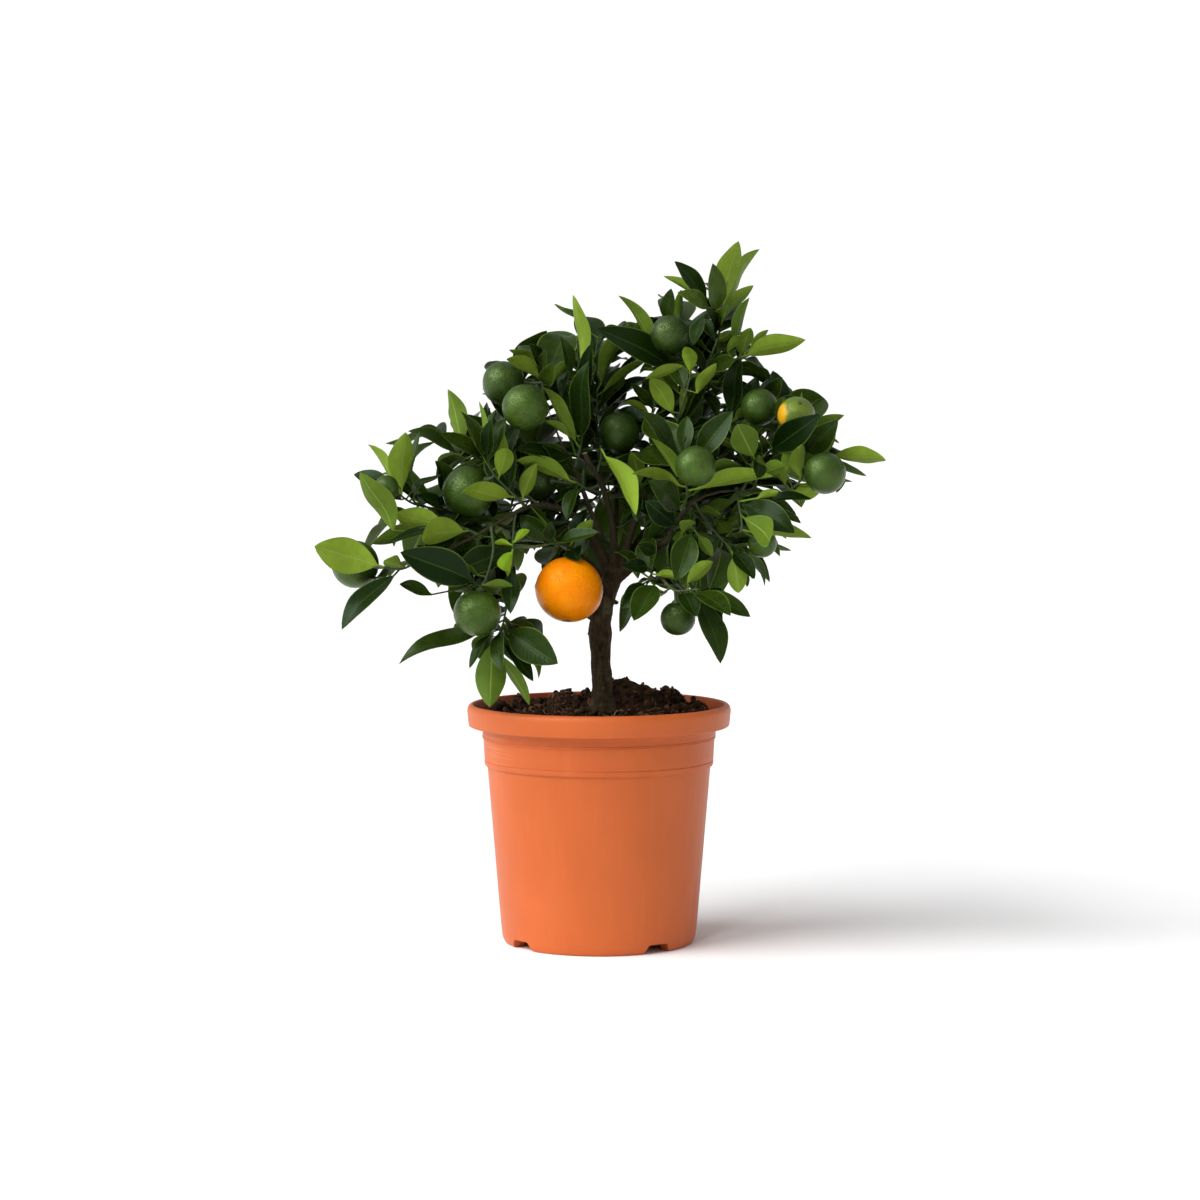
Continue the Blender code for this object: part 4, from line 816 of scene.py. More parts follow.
def makeThreads():  # pale and brown root threads lying on the compost
    rng = random.Random("threads")
    chains, shades = [], []
    for _ in range(threadForm["count"]):
        angle = rng.uniform(0, 2 * math.pi)
        reach = rng.uniform(*threadForm["reach"])
        x, y = reach * math.cos(angle), reach * math.sin(angle)
        heading = rng.uniform(0, 2 * math.pi)
        thick = rng.uniform(*threadForm["thick"])
        shade = rng.choice(threadForm["shades"])
        chain = []
        for _ in range(rng.randint(*threadForm["steps"])):
            heading += rng.uniform(-threadForm["wander"], threadForm["wander"])
            x += threadForm["stepLength"] * math.cos(heading)
            y += threadForm["stepLength"] * math.sin(heading)
            nearTrunk = math.hypot(x - soilForm["trunkAcross"], y) < threadForm["trunkClear"]
            if math.hypot(x, y) > threadForm["farthest"] or nearTrunk:
                break
            z = soilHeight(x, y) + threadForm["lift"] + rng.uniform(*threadForm["liftSpread"])
            chain.append((Vector((x, y, z)) * millimetre, thick * millimetre))
        if len(chain) > 2:
            chains.append(chain)
            shades += [shade] * len(chain)
    chains.append([(Vector(place) * millimetre, threadForm["longThick"] * millimetre)
                   for place in threadForm["long"]])
    shades += [threadForm["longShade"]] * len(threadForm["long"])
    mesh = chainMesh("root_threads", chains)
    keepValues(mesh, "shade", shades)
    threads = newObject("root_threads", mesh)
    useTree(threads, stemTree, {"Sides": 6, "Finish": finishes["fibre"]})
    finished(threads, plainMesh(threads), [], "soil", 180)
    print("root threads laid:", len(chains))


makeThreads()


# Wood: the grown solid, rounded and given its bark

woodForm = {
    "voxel": 0.0007,
    "easeFactor": 0.5,
    "easeSteps": 9,
    "fissureScale": 520,
    "fissureStretch": 0.25,
    "fissureDepth": 0.00034,
    "fissureFractal": (0.7, 2.1, 4),
    "swellScale": 130,
    "swellDepth": 0.0004,
    "trunkTop": 0.19,
    "limbShare": 0.45,  # how much of the relief the limbs have
    "slimming": 0.0008,
    "slimFrom": 0.192,
    "slimOver": 0.014,
    "cutPlace": (-7.5, -13, 246.5),
    "cutReach": 0.0022,
    "cutSlope": 0.3,
}


def trueDepth(depth):
    return depth * millimetre * (outlook["frontSpread"] if depth < 0 else outlook["backSpread"])


def reachAt(depth):
    return 1 + trueDepth(depth) / outlook["eyeDistance"]


def atEye(place):  # the true place of a point measured on the upright plane through the trunk
    across, depth, height = place
    reach = reachAt(depth)
    rise = (height * millimetre - eye.z) * reach
    return Vector((across * millimetre * reach, trueDepth(depth), eye.z + rise))


def barkMove(place, normal):  # fissures and swellings on the trunk, fainter and slimmer on the limbs
    at = place * woodForm["fissureScale"]
    at.z *= woodForm["fissureStretch"]
    fissure = noise.fractal(at, *woodForm["fissureFractal"])
    swell = noise.noise(place * woodForm["swellScale"])
    share = 1.0 if place.z < woodForm["trunkTop"] else woodForm["limbShare"]
    slim = ramp((place.z - woodForm["slimFrom"]) / woodForm["slimOver"])
    move = normal * ((fissure * woodForm["fissureDepth"] + swell * woodForm["swellDepth"]) * share)
    return move - normal * (woodForm["slimming"] * slim)


def makeWood():
    shape = bmesh.new()
    shape.from_mesh(frame["nodes"]["wood"].data)
    bmesh.ops.remove_doubles(shape, verts=shape.verts, dist=0.000002)
    wood = newObject("tree_wood", meshFrom("tree_wood", shape))
    remesh = wood.modifiers.new("even skin", "REMESH")
    remesh.mode = "VOXEL"
    remesh.voxel_size = woodForm["voxel"]
    ease = wood.modifiers.new("eased", "SMOOTH")
    ease.factor = woodForm["easeFactor"]
    ease.iterations = woodForm["easeSteps"]
    mesh = plainMesh(wood)
    cutPlace = atEye(woodForm["cutPlace"])
    keepValues(mesh, "cutFace", [
        1.0 if vert.normal.z > woodForm["cutSlope"] and (vert.co - cutPlace).length < woodForm["cutReach"]
        else 0.0 for vert in mesh.vertices])
    moves = [barkMove(vert.co, vert.normal) for vert in mesh.vertices]
    for vert, move in zip(mesh.vertices, moves):
        vert.co += move
    mesh.materials.clear()
    mesh.materials.append(finishes["bark"])
    finished(wood, mesh, ["wood"], "bark", 75)
    print("wood grown:", len(mesh.polygons), "faces")


makeWood()


# Places in the crown, measured from the front: millimetres (across, depth, height)
# A leaf is (base across, base height, tip across, tip height, width, side shown, lean back, tone)
# the tone is how light the leaf looked: its own colour and age, with painted shade on leaves in shade and
# painted light on under sides lit through

sprays = {
    "spray_far_left": {
        "stem": [(-86, -55, 195.5), (-91, -59, 191.5), (-99, -63, 187.5), (-108, -67, 188.5)],
        "fruits": ["fruit_green_01"],
        "leaves": [
            (-108.5, 189.5, -142.5, 199, 16.5, "L", -8, 0.95),
            (-98.5, 184.5, -129, 157, 9, "U", -14, 0.1), (-98, 188, -107.5, 192, 6.5, "L", -16, 0.75)]},
    "spray_left_low": {
        "stem": [(-54, -36, 209), (-53, -44, 196), (-57, -52, 182), (-60, -55, 179)],
        "fruits": ["fruit_green_07"],
        "leaves": [
            (-60, 176.5, -99.5, 196, 17, "U", -14, 0.05), (-84.5, 174.5, -100, 180, 6, "U", 4, 0.3),
            (-59.5, 177, -43, 179, 4.5, "L", 6, 0.5)]},
    "spray_left_mid": {
        "stem": [(-61, -40, 204.7), (-68, -44, 208), (-82, -50, 209), (-97, -53, 206)],
        "leaves": [
            (-103, 207, -119.5, 236, 11, "L", -10, 0.55), (-74.5, 211, -102.5, 215, 12, "L", -6, 0.95),
            (-84.5, 203.5, -113.5, 200, 7, "L", -4, 0.45), (-60, 199, -88.5, 203.5, 12, "L", -24, 0.9),
            (-74.5, 199, -105.5, 200.5, 4, "E", -12, 0.1)]},
    "spray_left_upper": {
        "stem": [(-48, -33, 212), (-62, -22, 215), (-77, -25, 217), (-92, -36, 220), (-100, -44, 225)],
        "fruits": ["fruit_green_02"],
        "leaves": [
            (-96, 228, -122.5, 235, 8, "U", 12, 0.1), (-77, 216, -91, 224.5, 6, "U", -14, 0.1),
            (-96.5, 227.5, -96.5, 256, 11.5, "L", -10, 0.85), (-93, 227, -89.5, 256.5, 4.5, "U", 4, 0.25),
            (-100.5, 229.5, -115.5, 250, 5, "L", 8, 0.8)]},
    "spray_left_top": {
        "stem": [(-30, -22, 219.5), (-44, -18, 231), (-57, -13, 241), (-69, -12, 248)],
        "leaves": [
            (-72, 246, -95.5, 256.5, 6, "U", -6, 0.25), (-69.5, 250.5, -75.5, 277.5, 9, "L", 4, 0.5),
            (-58.5, 238, -79.5, 255.5, 7, "U", -14, 0.4), (-70, 238, -74.5, 256, 4.5, "L", -12, 0.5),
            (-48, 238, -40, 262, 8, "U", 12, 0.1)]},
    "spray_left_inner": {
        "stem": [(-36, -26, 218), (-42, -33, 224), (-51, -37, 233), (-57, -38, 242)],
        "fruits": ["fruit_green_03"],
        "leaves": [
            (-57, 239.5, -69, 266.5, 4, "E", -10, 0.3), (-56.5, 238, -67, 264, 6, "U", 2, 0.15),
            (-58, 244.5, -60, 271.5, 5.5, "L", 6, 0.5), (-57, 241, -53.5, 262.5, 6.5, "U", -8, 0.1),
            (-51.5, 230.5, -46, 248, 9, "L", -12, 0.7), (-45.5, 225.5, -42, 247, 6, "U", -6, 0.1),
            (-43.5, 221, -69, 226, 8, "L", -28, 0.85), (-38, 219.5, -31, 240.5, 7.5, "L", 2, 0.75),
            (-52, 246, -46.5, 263, 6, "U", 8, 0.25), (-48.5, 240, -48, 256, 7, "L", 8, 0.9)]},
    "spray_upper_left_tip": {
        "stem": [(-26, -10, 269), (-28, -11, 277), (-28, -11, 284), (-27, -11, 289)],
        "fruits": ["fruit_green_04", "fruit_green_05"],
        "leaves": [
            (-29, 282.5, -46, 292.5, 6.5, "L", -18, 0.9), (-27, 289.5, -45, 297, 4.5, "L", -4, 0.5),
            (-20, 290, -35, 300, 6, "U", -14, 0.1), (-29, 282, -26, 297.5, 4, "U", -16, 0.25),
            (-26, 280.5, -22.5, 291, 4.5, "U", -18, 0.4), (-23.5, 279.5, -12, 293.5, 4.5, "L", 3, 0.5),
            (-18.5, 274, -13.5, 290, 5, "U", 10, 0.1)]},
    "spray_centre_top": {
        "stem": [(-12, -6, 238), (-9, -9, 250), (-8, -10, 268), (-8.5, -10, 288)],
        "leaves": [
            (-14, 286, -19.5, 303.5, 6.5, "U", -12, 0.25), (-8, 289.5, -13, 324.5, 6.5, "L", -4, 0.8),
            (-6, 248.5, -5, 291.5, 10.5, "U", -14, 0.12), (-5, 277, -4, 300, 7, "U", 4, 0.0),
            (-11, 247.5, -29, 279, 6, "L", -14, 0.5), (-14.5, 268, -29, 283, 6.5, "U", 10, 0.1),
            (-12, 244, -42, 247, 7, "U", -12, 0.1), (-15, 254, -27, 261.5, 4, "L", -6, 0.55)]},
    "spray_pruned_shoot": {
        "stem": [(-1, -8, 236), (1, -13, 243), (1, -17, 249)],
        "leaves": [
            (2.5, 250, 18.5, 214.5, 9, "L", -16, 1.05)]},
    "spray_centre_inner": {
        "stem": [(3, -3, 226), (-4, -15, 227), (-12, -20, 231)],
        "fruits": ["fruit_green_06"],
        "leaves": [
            (-10, 234, -41.5, 242, 7.5, "L", -14, 0.7), (-12, 229, -16, 212, 6, "U", -10, 0.2)]},
    "spray_upper_mid": {
        "stem": [(3, -3, 222), (0, 12, 243), (-1, 16, 262), (-1, 16, 278)],
        "leaves": [
            (2, 279.5, 17, 310.5, 7.5, "L", -4, 0.5), (-1, 274.5, 26.5, 293.5, 4, "L", -12, 0.5),
            (-0.5, 266, 14, 282.5, 4.5, "U", 6, 0.2), (0, 275, 4.5, 303, 6.5, "U", 6, 0.0),
            (-1, 262, -18, 280, 7, "U", 12, 0.2)]},
    "spray_upper_right_left": {
        "stem": [(51.5, 5, 282), (46, 8, 291), (41, 9, 302), (38, 9, 311)],
        "fruits": ["fruit_green_08"],
        "leaves": [
            (34.5, 311, 36, 327.5, 7, "U", -12, 0.25), (40.5, 311, 41, 327, 4.5, "L", 8, 0.5),
            (31.5, 295, 9.5, 324, 6.5, "L", -4, 0.5), (36.5, 287, -1, 307.5, 13, "U", -8, 0.1)]},
    "spray_top": {
        "stem": [(54, 3, 290), (59, 0, 302), (61.5, -3, 316), (61.5, -4, 322)],
        "leaves": [
            (61.5, 318, 69.5, 351, 11, "L", -4, 0.9), (58, 317, 56.5, 340, 9, "U", -14, 0.5),
            (64, 319.5, 80, 347, 6, "L", 10, 0.8), (60, 312, 77, 329, 6, "L", 4, 0.65),
            (59, 304.5, 64.5, 319, 5.5, "U", -18, 0.4), (59, 303, 53, 317.5, 5.5, "U", -20, 0.1),
            (58.5, 301.5, 51, 313.5, 6, "U", -10, 0.12), (53, 322, 37.5, 341, 8, "U", -6, 0.15),
            (50.5, 323, 32, 333.5, 4.5, "L", 10, 0.8), (54, 318, 39, 325.5, 7.5, "U", -16, 0.6),
            (59.5, 301, 67, 306.5, 4.5, "L", -12, 0.5), (51.5, 313, 47, 299.5, 6, "U", -14, 0.15)]},
    "spray_right_top": {
        "stem": [(49.5, 6, 275), (57, 1, 284), (65, -3, 290), (72, -6, 295)],
        "leaves": [
            (57, 288, 68, 292, 7, "U", -20, 0.3), (68, 299.5, 75, 323, 5.5, "L", 2, 0.35),
            (64, 296, 72.5, 303.5, 4, "L", -14, 0.5), (70.5, 294, 75.5, 308, 7, "L", -16, 0.5),
            (71.5, 291, 103, 302, 10, "L", -6, 0.9), (75.5, 297, 84.5, 307, 4, "L", 6, 0.8)]},
    "spray_mid_right_top": {
        "stem": [(36, 8, 246), (38, -2, 252), (40, -12, 264), (44, -14, 278), (46, -14, 286)],
        "leaves": [
            (50, 286, 43.5, 298.5, 7, "L", -12, 0.9), (49, 275.5, 58.5, 290.5, 6, "L", -10, 0.9),
            (41.5, 289, 23, 282.5, 5, "L", -12, 0.8), (36.5, 266, 25.5, 283, 9, "L", -8, 0.8),
            (38.5, 256, 51.5, 286, 6, "U", -14, 0.1), (40, 262, 50, 286, 6.5, "L", 4, 0.7),
            (44, 262, 54.5, 281, 5, "U", 10, 0.25)]},
    "spray_centre_right": {
        "stem": [(42, -24, 216), (44, -32, 226), (42, -37, 236), (40, -38, 246)],
        "fruits": ["fruit_green_10"],
        "leaves": [
            (39.5, 247, 21, 266, 8, "U", -10, 0.25), (39, 234, 26.5, 253, 8, "L", -16, 0.5),
            (43, 246, 44, 264, 8, "U", 6, 0.25), (50, 244, 67, 266.5, 12, "U", -6, 0.2),
            (44, 228.5, 16, 235, 5.5, "L", -14, 0.8), (46.5, 227, 87, 234, 7.5, "L", -18, 0.9),
            (40, 218, 24.5, 232, 12, "U", -22, 0.3)]},
    "spray_centre_small": {
        "stem": [(29, 8, 234), (27, 10, 248), (26, 9, 262), (28, 8, 268)],
        "fruits": ["fruit_green_09"],
        "leaves": [
            (28, 268, 16, 280.5, 4.5, "U", -6, 0.3), (26.5, 264, 12.5, 271, 3.5, "L", -12, 0.8),
            (27, 258, 40, 272, 6, "U", 12, 0.2)]},
    "spray_right_upper": {
        "stem": [(46, 8, 264), (58, 5, 262), (70, 3, 261), (79, 4, 264), (83, 4, 270)],
        "fruits": ["fruit_green_12"],
        "leaves": [
            (65.5, 264.5, 71, 293.5, 10, "U", -6, 0.12), (66, 261, 77.5, 268.5, 5, "L", -26, 0.5),
            (83, 272, 91.5, 283.5, 8, "U", -10, 0.25), (60, 262, 52, 276, 6, "U", 14, 0.2)]},
    "spray_right_far_top": {
        "stem": [(72, -30, 227.5), (79, -27, 240), (88, -23, 249), (96, -21, 253)],
        "fruits": ["fruit_turning"],
        "leaves": [
            (89.5, 262, 92, 274, 6.5, "U", 6, 0.4), (83, 257, 95.5, 264, 4, "L", 8, 0.45),
            (86, 242, 111, 265, 11, "U", -16, 0.0), (101, 252, 122.5, 264.5, 6.5, "L", 2, 0.5),
            (104, 246, 119.5, 262, 12, "U", -12, 0.25)]},
    "spray_right_far": {
        "stem": [(93, -30, 226), (99, -30, 230), (106, -28, 238), (114, -26, 244)],
        "fruits": ["fruit_green_13"],
        "leaves": [
            (118, 244, 143.5, 242, 7.5, "L", -20, 0.8), (93, 234.5, 97.5, 250.5, 8, "L", -12, 0.5),
            (100.5, 232, 101, 253, 8.5, "L", -18, 0.9), (98, 226, 114, 225.5, 10, "L", -22, 0.9),
            (93, 230, 88, 240, 5, "L", -10, 0.5)]},
    "spray_right_mid": {
        "stem": [(77, -30, 227), (79, -37, 234), (78, -40, 243)],
        "leaves": [
            (80, 243, 69, 260, 13, "L", -10, 0.4), (73, 246, 79, 233, 6, "U", -16, 0.12),
            (80, 233, 80.5, 247.5, 8, "L", -14, 0.5), (81, 235, 92.5, 239, 7, "L", -14, 0.45)]},
    "spray_right_low": {
        "stem": [(69, -30, 227), (70, -38, 220), (71.5, -42, 211), (71, -43, 206)],
        "fruits": ["fruit_green_14"],
        "leaves": [
            (69.5, 222, 98, 205.5, 13, "U", -14, 0.15), (80, 205, 106.5, 203, 6.5, "L", -6, 0.65),
            (71.5, 214.5, 85.5, 201.5, 12, "L", -22, 0.5), (70, 206, 84.5, 202, 4, "E", 2, 0.3),
            (83, 222, 99, 214, 5, "U", 10, 0.25), (90.5, 216, 101, 210.5, 3.5, "U", -4, 0.2),
            (79.5, 223, 90, 226.5, 4, "L", -10, 0.9), (86, 221, 106.5, 222.5, 4.5, "U", 4, 0.1)]},
    "spray_inner_right": {
        "stem": [(42, -23, 217.5), (47, -13, 217), (55, -8, 214), (62, -5, 211)],
        "leaves": [
            (50.5, 222, 78, 229, 7, "U", 4, 0.1), (46, 213, 61.5, 215, 4.5, "L", -12, 0.45),
            (51.5, 217, 66.5, 221.5, 6, "L", -6, 0.5), (58.5, 214, 65.5, 205, 7, "L", -10, 0.8),
            (63, 209, 74.5, 214.5, 4.5, "L", -6, 0.45)]},
    "spray_low_right_inner": {
        "stem": [(37, -20, 207), (42, -29, 209), (48, -34, 208)],
        "leaves": [
            (48, 206, 38.5, 181.5, 13, "U", -10, 0.3), (42, 206, 46.5, 212, 6, "L", -14, 0.5),
            (36, 203, 36.5, 186, 6, "U", -2, 0.0), (50, 204, 57, 193.5, 5.5, "L", 2, 0.45),
            (33, 204, 23, 222, 11, "U", -8, 0.0)]},
    "spray_low_right": {
        "stem": [(35, -35, 179), (39, -40, 176.5), (46, -44, 177), (50, -46, 177.5)],
        "fruits": ["fruit_green_11"],
        "leaves": [
            (49.5, 176, 61, 140, 11, "U", -12, 0.25), (45.5, 176, 66, 164, 8, "U", -22, 0.25),
            (51, 179, 76, 163.5, 8, "U", -2, 0.25), (40.5, 175, 49, 163.5, 9, "U", -20, 0.12),
            (44.5, 181, 57, 191.5, 6.5, "L", -8, 0.7)]},
    "spray_low_centre": {
        "stem": [(27, -21, 188), (26, -29, 184), (25, -33, 181)],
        "leaves": [
            (29, 184.5, 40, 183, 4, "L", -16, 0.8), (22, 180, 11.5, 167.5, 9, "U", -10, 0.1),
            (28, 179, 17.5, 161.5, 12, "U", -18, 0.3), (24, 188, 12, 189, 7, "U", -14, 0.1),
            (28, 196, 19.5, 200, 7, "U", -12, 0.15)]},
    "spray_low_far_right": {
        "stem": [(48, -26, 220.5), (54, -22, 211), (61, -26, 203), (67, -30, 197)],
        "leaves": [
            (67, 198, 78, 182.5, 8, "U", -12, 0.1), (67.5, 193.5, 70, 175.5, 9, "L", -16, 0.75),
            (60, 202, 50, 190, 6, "U", -2, 0.2)]},
    "spray_over_orange": {
        "stem": [(-12, -23, 196.5), (-15, -25, 199), (-20, -29, 200.5), (-27, -32, 200)],
        "fruits": ["fruit_ripe"],
        "leaves": [
            (-22, 197, 0, 206, 6, "U", -10, 0.25), (-8, 204, -10, 191.5, 11, "U", -14, 0.0),
            (-12, 203, -3, 212, 6, "L", -6, 0.5), (-34, 204, -24, 211.5, 6, "U", -4, 0.1)]},
    "spray_hanging_left": {
        "stem": [(-42, -29, 215.5), (-43, -33, 203), (-43.5, -38, 189), (-45.5, -42, 173),
                 (-48, -45, 160), (-49.5, -47, 150)],
        "leaves": [
            (-43, 189, -44.5, 159, 8.5, "U", -20, 0.12), (-46.5, 158, -20.5, 140, 16, "U", -12, 0.25),
            (-56, 158, -100.5, 139.5, 8, "U", 3, 0.35), (-55, 154, -65, 137.5, 4, "U", -10, 0.2),
            (-53.5, 150, -55, 118, 15, "L", -8, 0.42), (-50, 149.5, -33, 131, 7, "U", -16, 0.1),
            (-49.5, 144, -35, 119, 5.5, "L", 2, 0.42), (-50, 160, -48.5, 136, 6.5, "U", -18, 0.25),
            (-43.5, 197, -45, 186, 6, "L", -14, 1.3), (-43, 200, -53, 200.5, 3, "L", -10, 1.3),
            (-42.5, 201, -34.5, 207, 3.5, "L", -8, 1.3), (-46, 199, -73, 183.5, 13, "U", -22, 0.15)]},
    "spray_inner_centre": {
        "stem": [(19, 5, 214), (22, -4, 221), (21, -10, 230)],
        "leaves": [
            (21, 231, 16, 246, 7, "L", -8, 0.45), (19, 230, 19, 211, 4.5, "U", -12, 0.15),
            (22, 222, 34, 232, 7, "U", -8, 0.15)]},
}
backSprays = {
    "spray_back_left_tip": {"stem": [(-42, 39, 240), (-54, 47, 248), (-68, 55, 253), (-80, 60, 256)],
        "count": 9},
    "spray_back_left_mid": {"stem": [(-22, 24, 224), (-34, 34, 222), (-46, 44, 218), (-55, 53, 208)],
        "count": 9, "fruits": ["fruit_green_15"]},
    "spray_back_left_top": {"stem": [(-30, 30, 231), (-36, 33, 250), (-42, 34, 268), (-44, 34, 284)],
        "count": 8},
    "spray_back_right_tip": {"stem": [(58, 42, 236), (68, 48, 244), (80, 53, 250), (90, 56, 254)],
        "count": 9},
    "spray_back_right_mid": {"stem": [(38, 28, 222), (48, 39, 214), (58, 51, 206), (64, 64, 198)],
        "count": 9, "fruits": ["fruit_green_16"]},
    "spray_back_right_top": {"stem": [(44, 33, 227), (46, 34, 246), (44, 33, 266), (40, 31, 284)],
        "count": 8},
    "spray_back_centre_tip": {"stem": [(4, 34, 262), (0, 39, 276), (-2, 41, 290), (0, 39, 304)],
        "count": 9},
    "spray_back_centre_low": {"stem": [(8, 24, 238), (4, 36, 232), (0, 50, 222), (-2, 64, 208)],
        "count": 9, "fruits": ["fruit_green_17"]},
}
fruits = {
    "fruit_ripe": (-15, -29, 177.2, 16.5),
    "fruit_green_01": (-122, -50, 190, 12),
    "fruit_green_02": (-106.3, -52, 228.3, 6.3),
    "fruit_green_03": (-65.5, -30, 226, 13),
    "fruit_green_04": (-47.5, -8, 280.5, 11),
    "fruit_green_05": (-37, -31, 268.5, 11.5),
    "fruit_green_06": (-31, -4, 232.5, 11),
    "fruit_green_07": (-61, -54, 165.5, 12),
    "fruit_green_08": (35.5, -11, 304.5, 9.8),
    "fruit_green_09": (10, 2, 255.5, 10.5),
    "fruit_green_10": (48.3, -54, 239, 10.3),
    "fruit_green_11": (39.5, -36, 162.8, 8.8),
    "fruit_green_12": (80, -14, 268.5, 9.3),
    "fruit_turning": (98.5, -32, 264.5, 9.3),
    "fruit_green_13": (113, -44, 235.5, 10.5),
    "fruit_green_14": (81.8, -32, 200.5, 7.3),
    "fruit_green_15": (-41, 56, 232, 11),
    "fruit_green_16": (52, 62, 216, 11.5),
    "fruit_green_17": (6, 56, 240, 10.5),
}


# Fruits

berryForm = {
    "segments": 48,
    "rings": 30,
    "flatness": 0.975,
    "stalkDimple": 0.07,
    "blossomDimple": 0.03,
    "dimpleFall": -14,
    "unevenScale": 0.9,
    "unevenness": 0.035,
    "ripeRadius": 16.9,
    "ripeSide": (-0.92, -0.38, 0.1),
}


def berryTree():  # a round berry along its stalk: dimpled at both ends and a little uneven
    tree, _, given = openTree("berry", [
        ("Place", "Vector", (0, 0, 0)), ("Stalk Side", "Vector", (0, 0, 1)), ("Radius", "Float", 0.01),
        ("Seed", "Float", 0.0), ("Unevenness", "Float", 0.03), ("Finish", "Material", None)])
    ball = addNode(tree, "GeometryNodeMeshUVSphere",
                   {"Segments": berryForm["segments"], "Rings": berryForm["rings"], "Radius": 1.0})
    place = newField(tree, "GeometryNodeInputPosition")
    ball = keepAttribute(tree, ball.outputs["Mesh"], "berryPlace", place)
    across, depth, height = place.xyz()
    dimple = ((across * across + depth * depth) * berryForm["dimpleFall"]).math("EXPONENT")
    upper = height.math("GREATER_THAN", 0.0)
    bothDimples = berryForm["stalkDimple"] + berryForm["blossomDimple"]
    drop = dimple * (upper * bothDimples - berryForm["blossomDimple"]) * -1
    uneven = newField(tree, "ShaderNodeTexNoise",
                      {"W": given["Seed"], "Vector": place, "Scale": berryForm["unevenScale"],
                       "Detail": 1.0}, "Fac",
                      noise_dimensions="4D")
    swell = (uneven - 0.5) * given["Unevenness"] * 2 + 1
    up = newField(tree, "ShaderNodeCombineXYZ", {"X": 0.0, "Y": 0.0, "Z": drop})
    moved = newField(tree, "GeometryNodeSetPosition", {"Geometry": ball, "Position": place * swell + up})
    turn = newField(tree, "FunctionNodeAlignRotationToVector", {"Vector": given["Stalk Side"]}, axis="Z")
    size = newField(tree, "ShaderNodeCombineXYZ", {"X": given["Radius"], "Y": given["Radius"],
                                                   "Z": given["Radius"] * berryForm["flatness"]})
    seated = newField(tree, "GeometryNodeTransform",
                      {"Geometry": moved, "Translation": given["Place"], "Rotation": turn, "Scale": size})
    return closeTree(tree, seated, given["Finish"])


berry = berryTree()


def makeFruit(name, stalkStart):
    across, depth, height, radius = fruits[name]
    kind = name.split("_")[1]
    place = atEye((across, depth, height))
    radius = (berryForm["ripeRadius"] if kind == "ripe" else radius) * millimetre * reachAt(depth)
    side = (stalkStart - place).normalized()
    fruit = newObject(name + "_berry", bpy.data.meshes.new(name))
    useTree(fruit, berry, {"Place": place, "Stalk Side": side, "Radius": radius,
                           "Seed": float(sum(map(ord, name)) % 97), "Unevenness": berryForm["unevenness"],
                           "Finish": finishes[kind]})
    mesh = plainMesh(fruit)
    if kind == "turning":
        ripest = Vector(berryForm["ripeSide"])
        keepValues(mesh, "ripeSide", [(vert.co - place).normalized().dot(ripest) for vert in mesh.vertices])
    # painted shade share of this fruit, from the list of those that stand in shade
    keepValues(mesh, "paintedShadeShare", [peelForm["darkFruits"].get(name[-2:], 0.0)] * len(mesh.vertices))
    finished(fruit, mesh, [name], "fruit_" + kind, 80)
    return place, radius, side


# Sprays: where stems run and leaves stand, by the same rules as the solids

leafRules = {  # millimetres and degrees
    "bladeThickness": 0.9,
    "keelShare": 0.65,
    "aspect": 0.46,
    "widestAspect": 0.66,
    "wideStation": 0.40,
    "narrowStation": 0.76,
    "narrowShare": 0.70,
    "arch": (0.02, 0.09),
    "fold": (8, 20),
    "grownLengths": (32, 44),
    "grownTilts": (42, 72),
    "grownPetiole": 0.18,
    "grownTurns": (0, 35, -35, 70, -70, 110, -110, 160),
    "grownScales": (1.0, 0.82, 0.66),
    "grownTones": (0.05, 0.4),
    "grownWidths": (0.92, 1.1),
    "grownStart": 0.7,  # where the first one stands, as a share of the way to the second
    "grownSwing": (-0.3, 0.3),
    "grownDroop": (0, 0.25),
    "grownRise": 0.5,  # how far the upper side turns towards the tip of the stem
    "grownRoll": (-0.4, 0.4),
    "goldenAngle": 137.5,
    "rootInset": 1.4,
    "shortPetiole": 0.13,
    "sharpestBend": 75,
    "gap": 0.3,
    "nearEnough": 0.0003,
    "rollKept": 0.75,  # a shown leaf is turned a little less away than the solid's, and is narrower
}
leanings = [(0, 0, 1.0), (-5, 0, 1.0), (5, 0, 1.0), (-10, 0, 1.0), (10, 0, 1.0), (0, 20, 1.0),
            (0, -20, 1.0), (-6, 20, 1.0), (6, -20, 1.0), (-16, 0, 1.0), (16, 0, 1.0),
            (-8, 35, 1.0), (8, -35, 1.0), (0, 0, 0.86), (-8, 0, 0.86), (8, 0, 0.86),
            (-16, 0, 0.86), (16, 0, 0.86), (0, 35, 0.8), (0, -35, 0.8), (-22, 0, 0.8),
            (22, 0, 0.8), (-12, 30, 0.7), (12, -30, 0.7), (0, 0, 0.6), (-10, 0, 0.6), (10, 0, 0.6)]
stemForm = {  # millimetres, and shares of the radius
    "fineSteps": 40,  # from one point of a route to the next
    "planSteps": 12,
    "nearRoot": 4,  # steps that are left out, because they stand in or at the wood
    "radius": 1.1,
    "thin": 0.66,
    "taper": 0.35,
    "tip": 0.45,
    "root": 1.1,
    "rootDepth": 3.2,
    "every": 8,
    "stalkRadius": 0.8,
    "stalkThin": 0.85,
    "stalkNeck": 1.2,
    "stalkSag": -0.4,
    "calyxRadius": 2.2,
    "calyxEnd": 0.85,
    "calyxHeights": (-0.9, 0.25, 1.4),  # from the berry's pole: its end, its ring and the stalk's neck
}


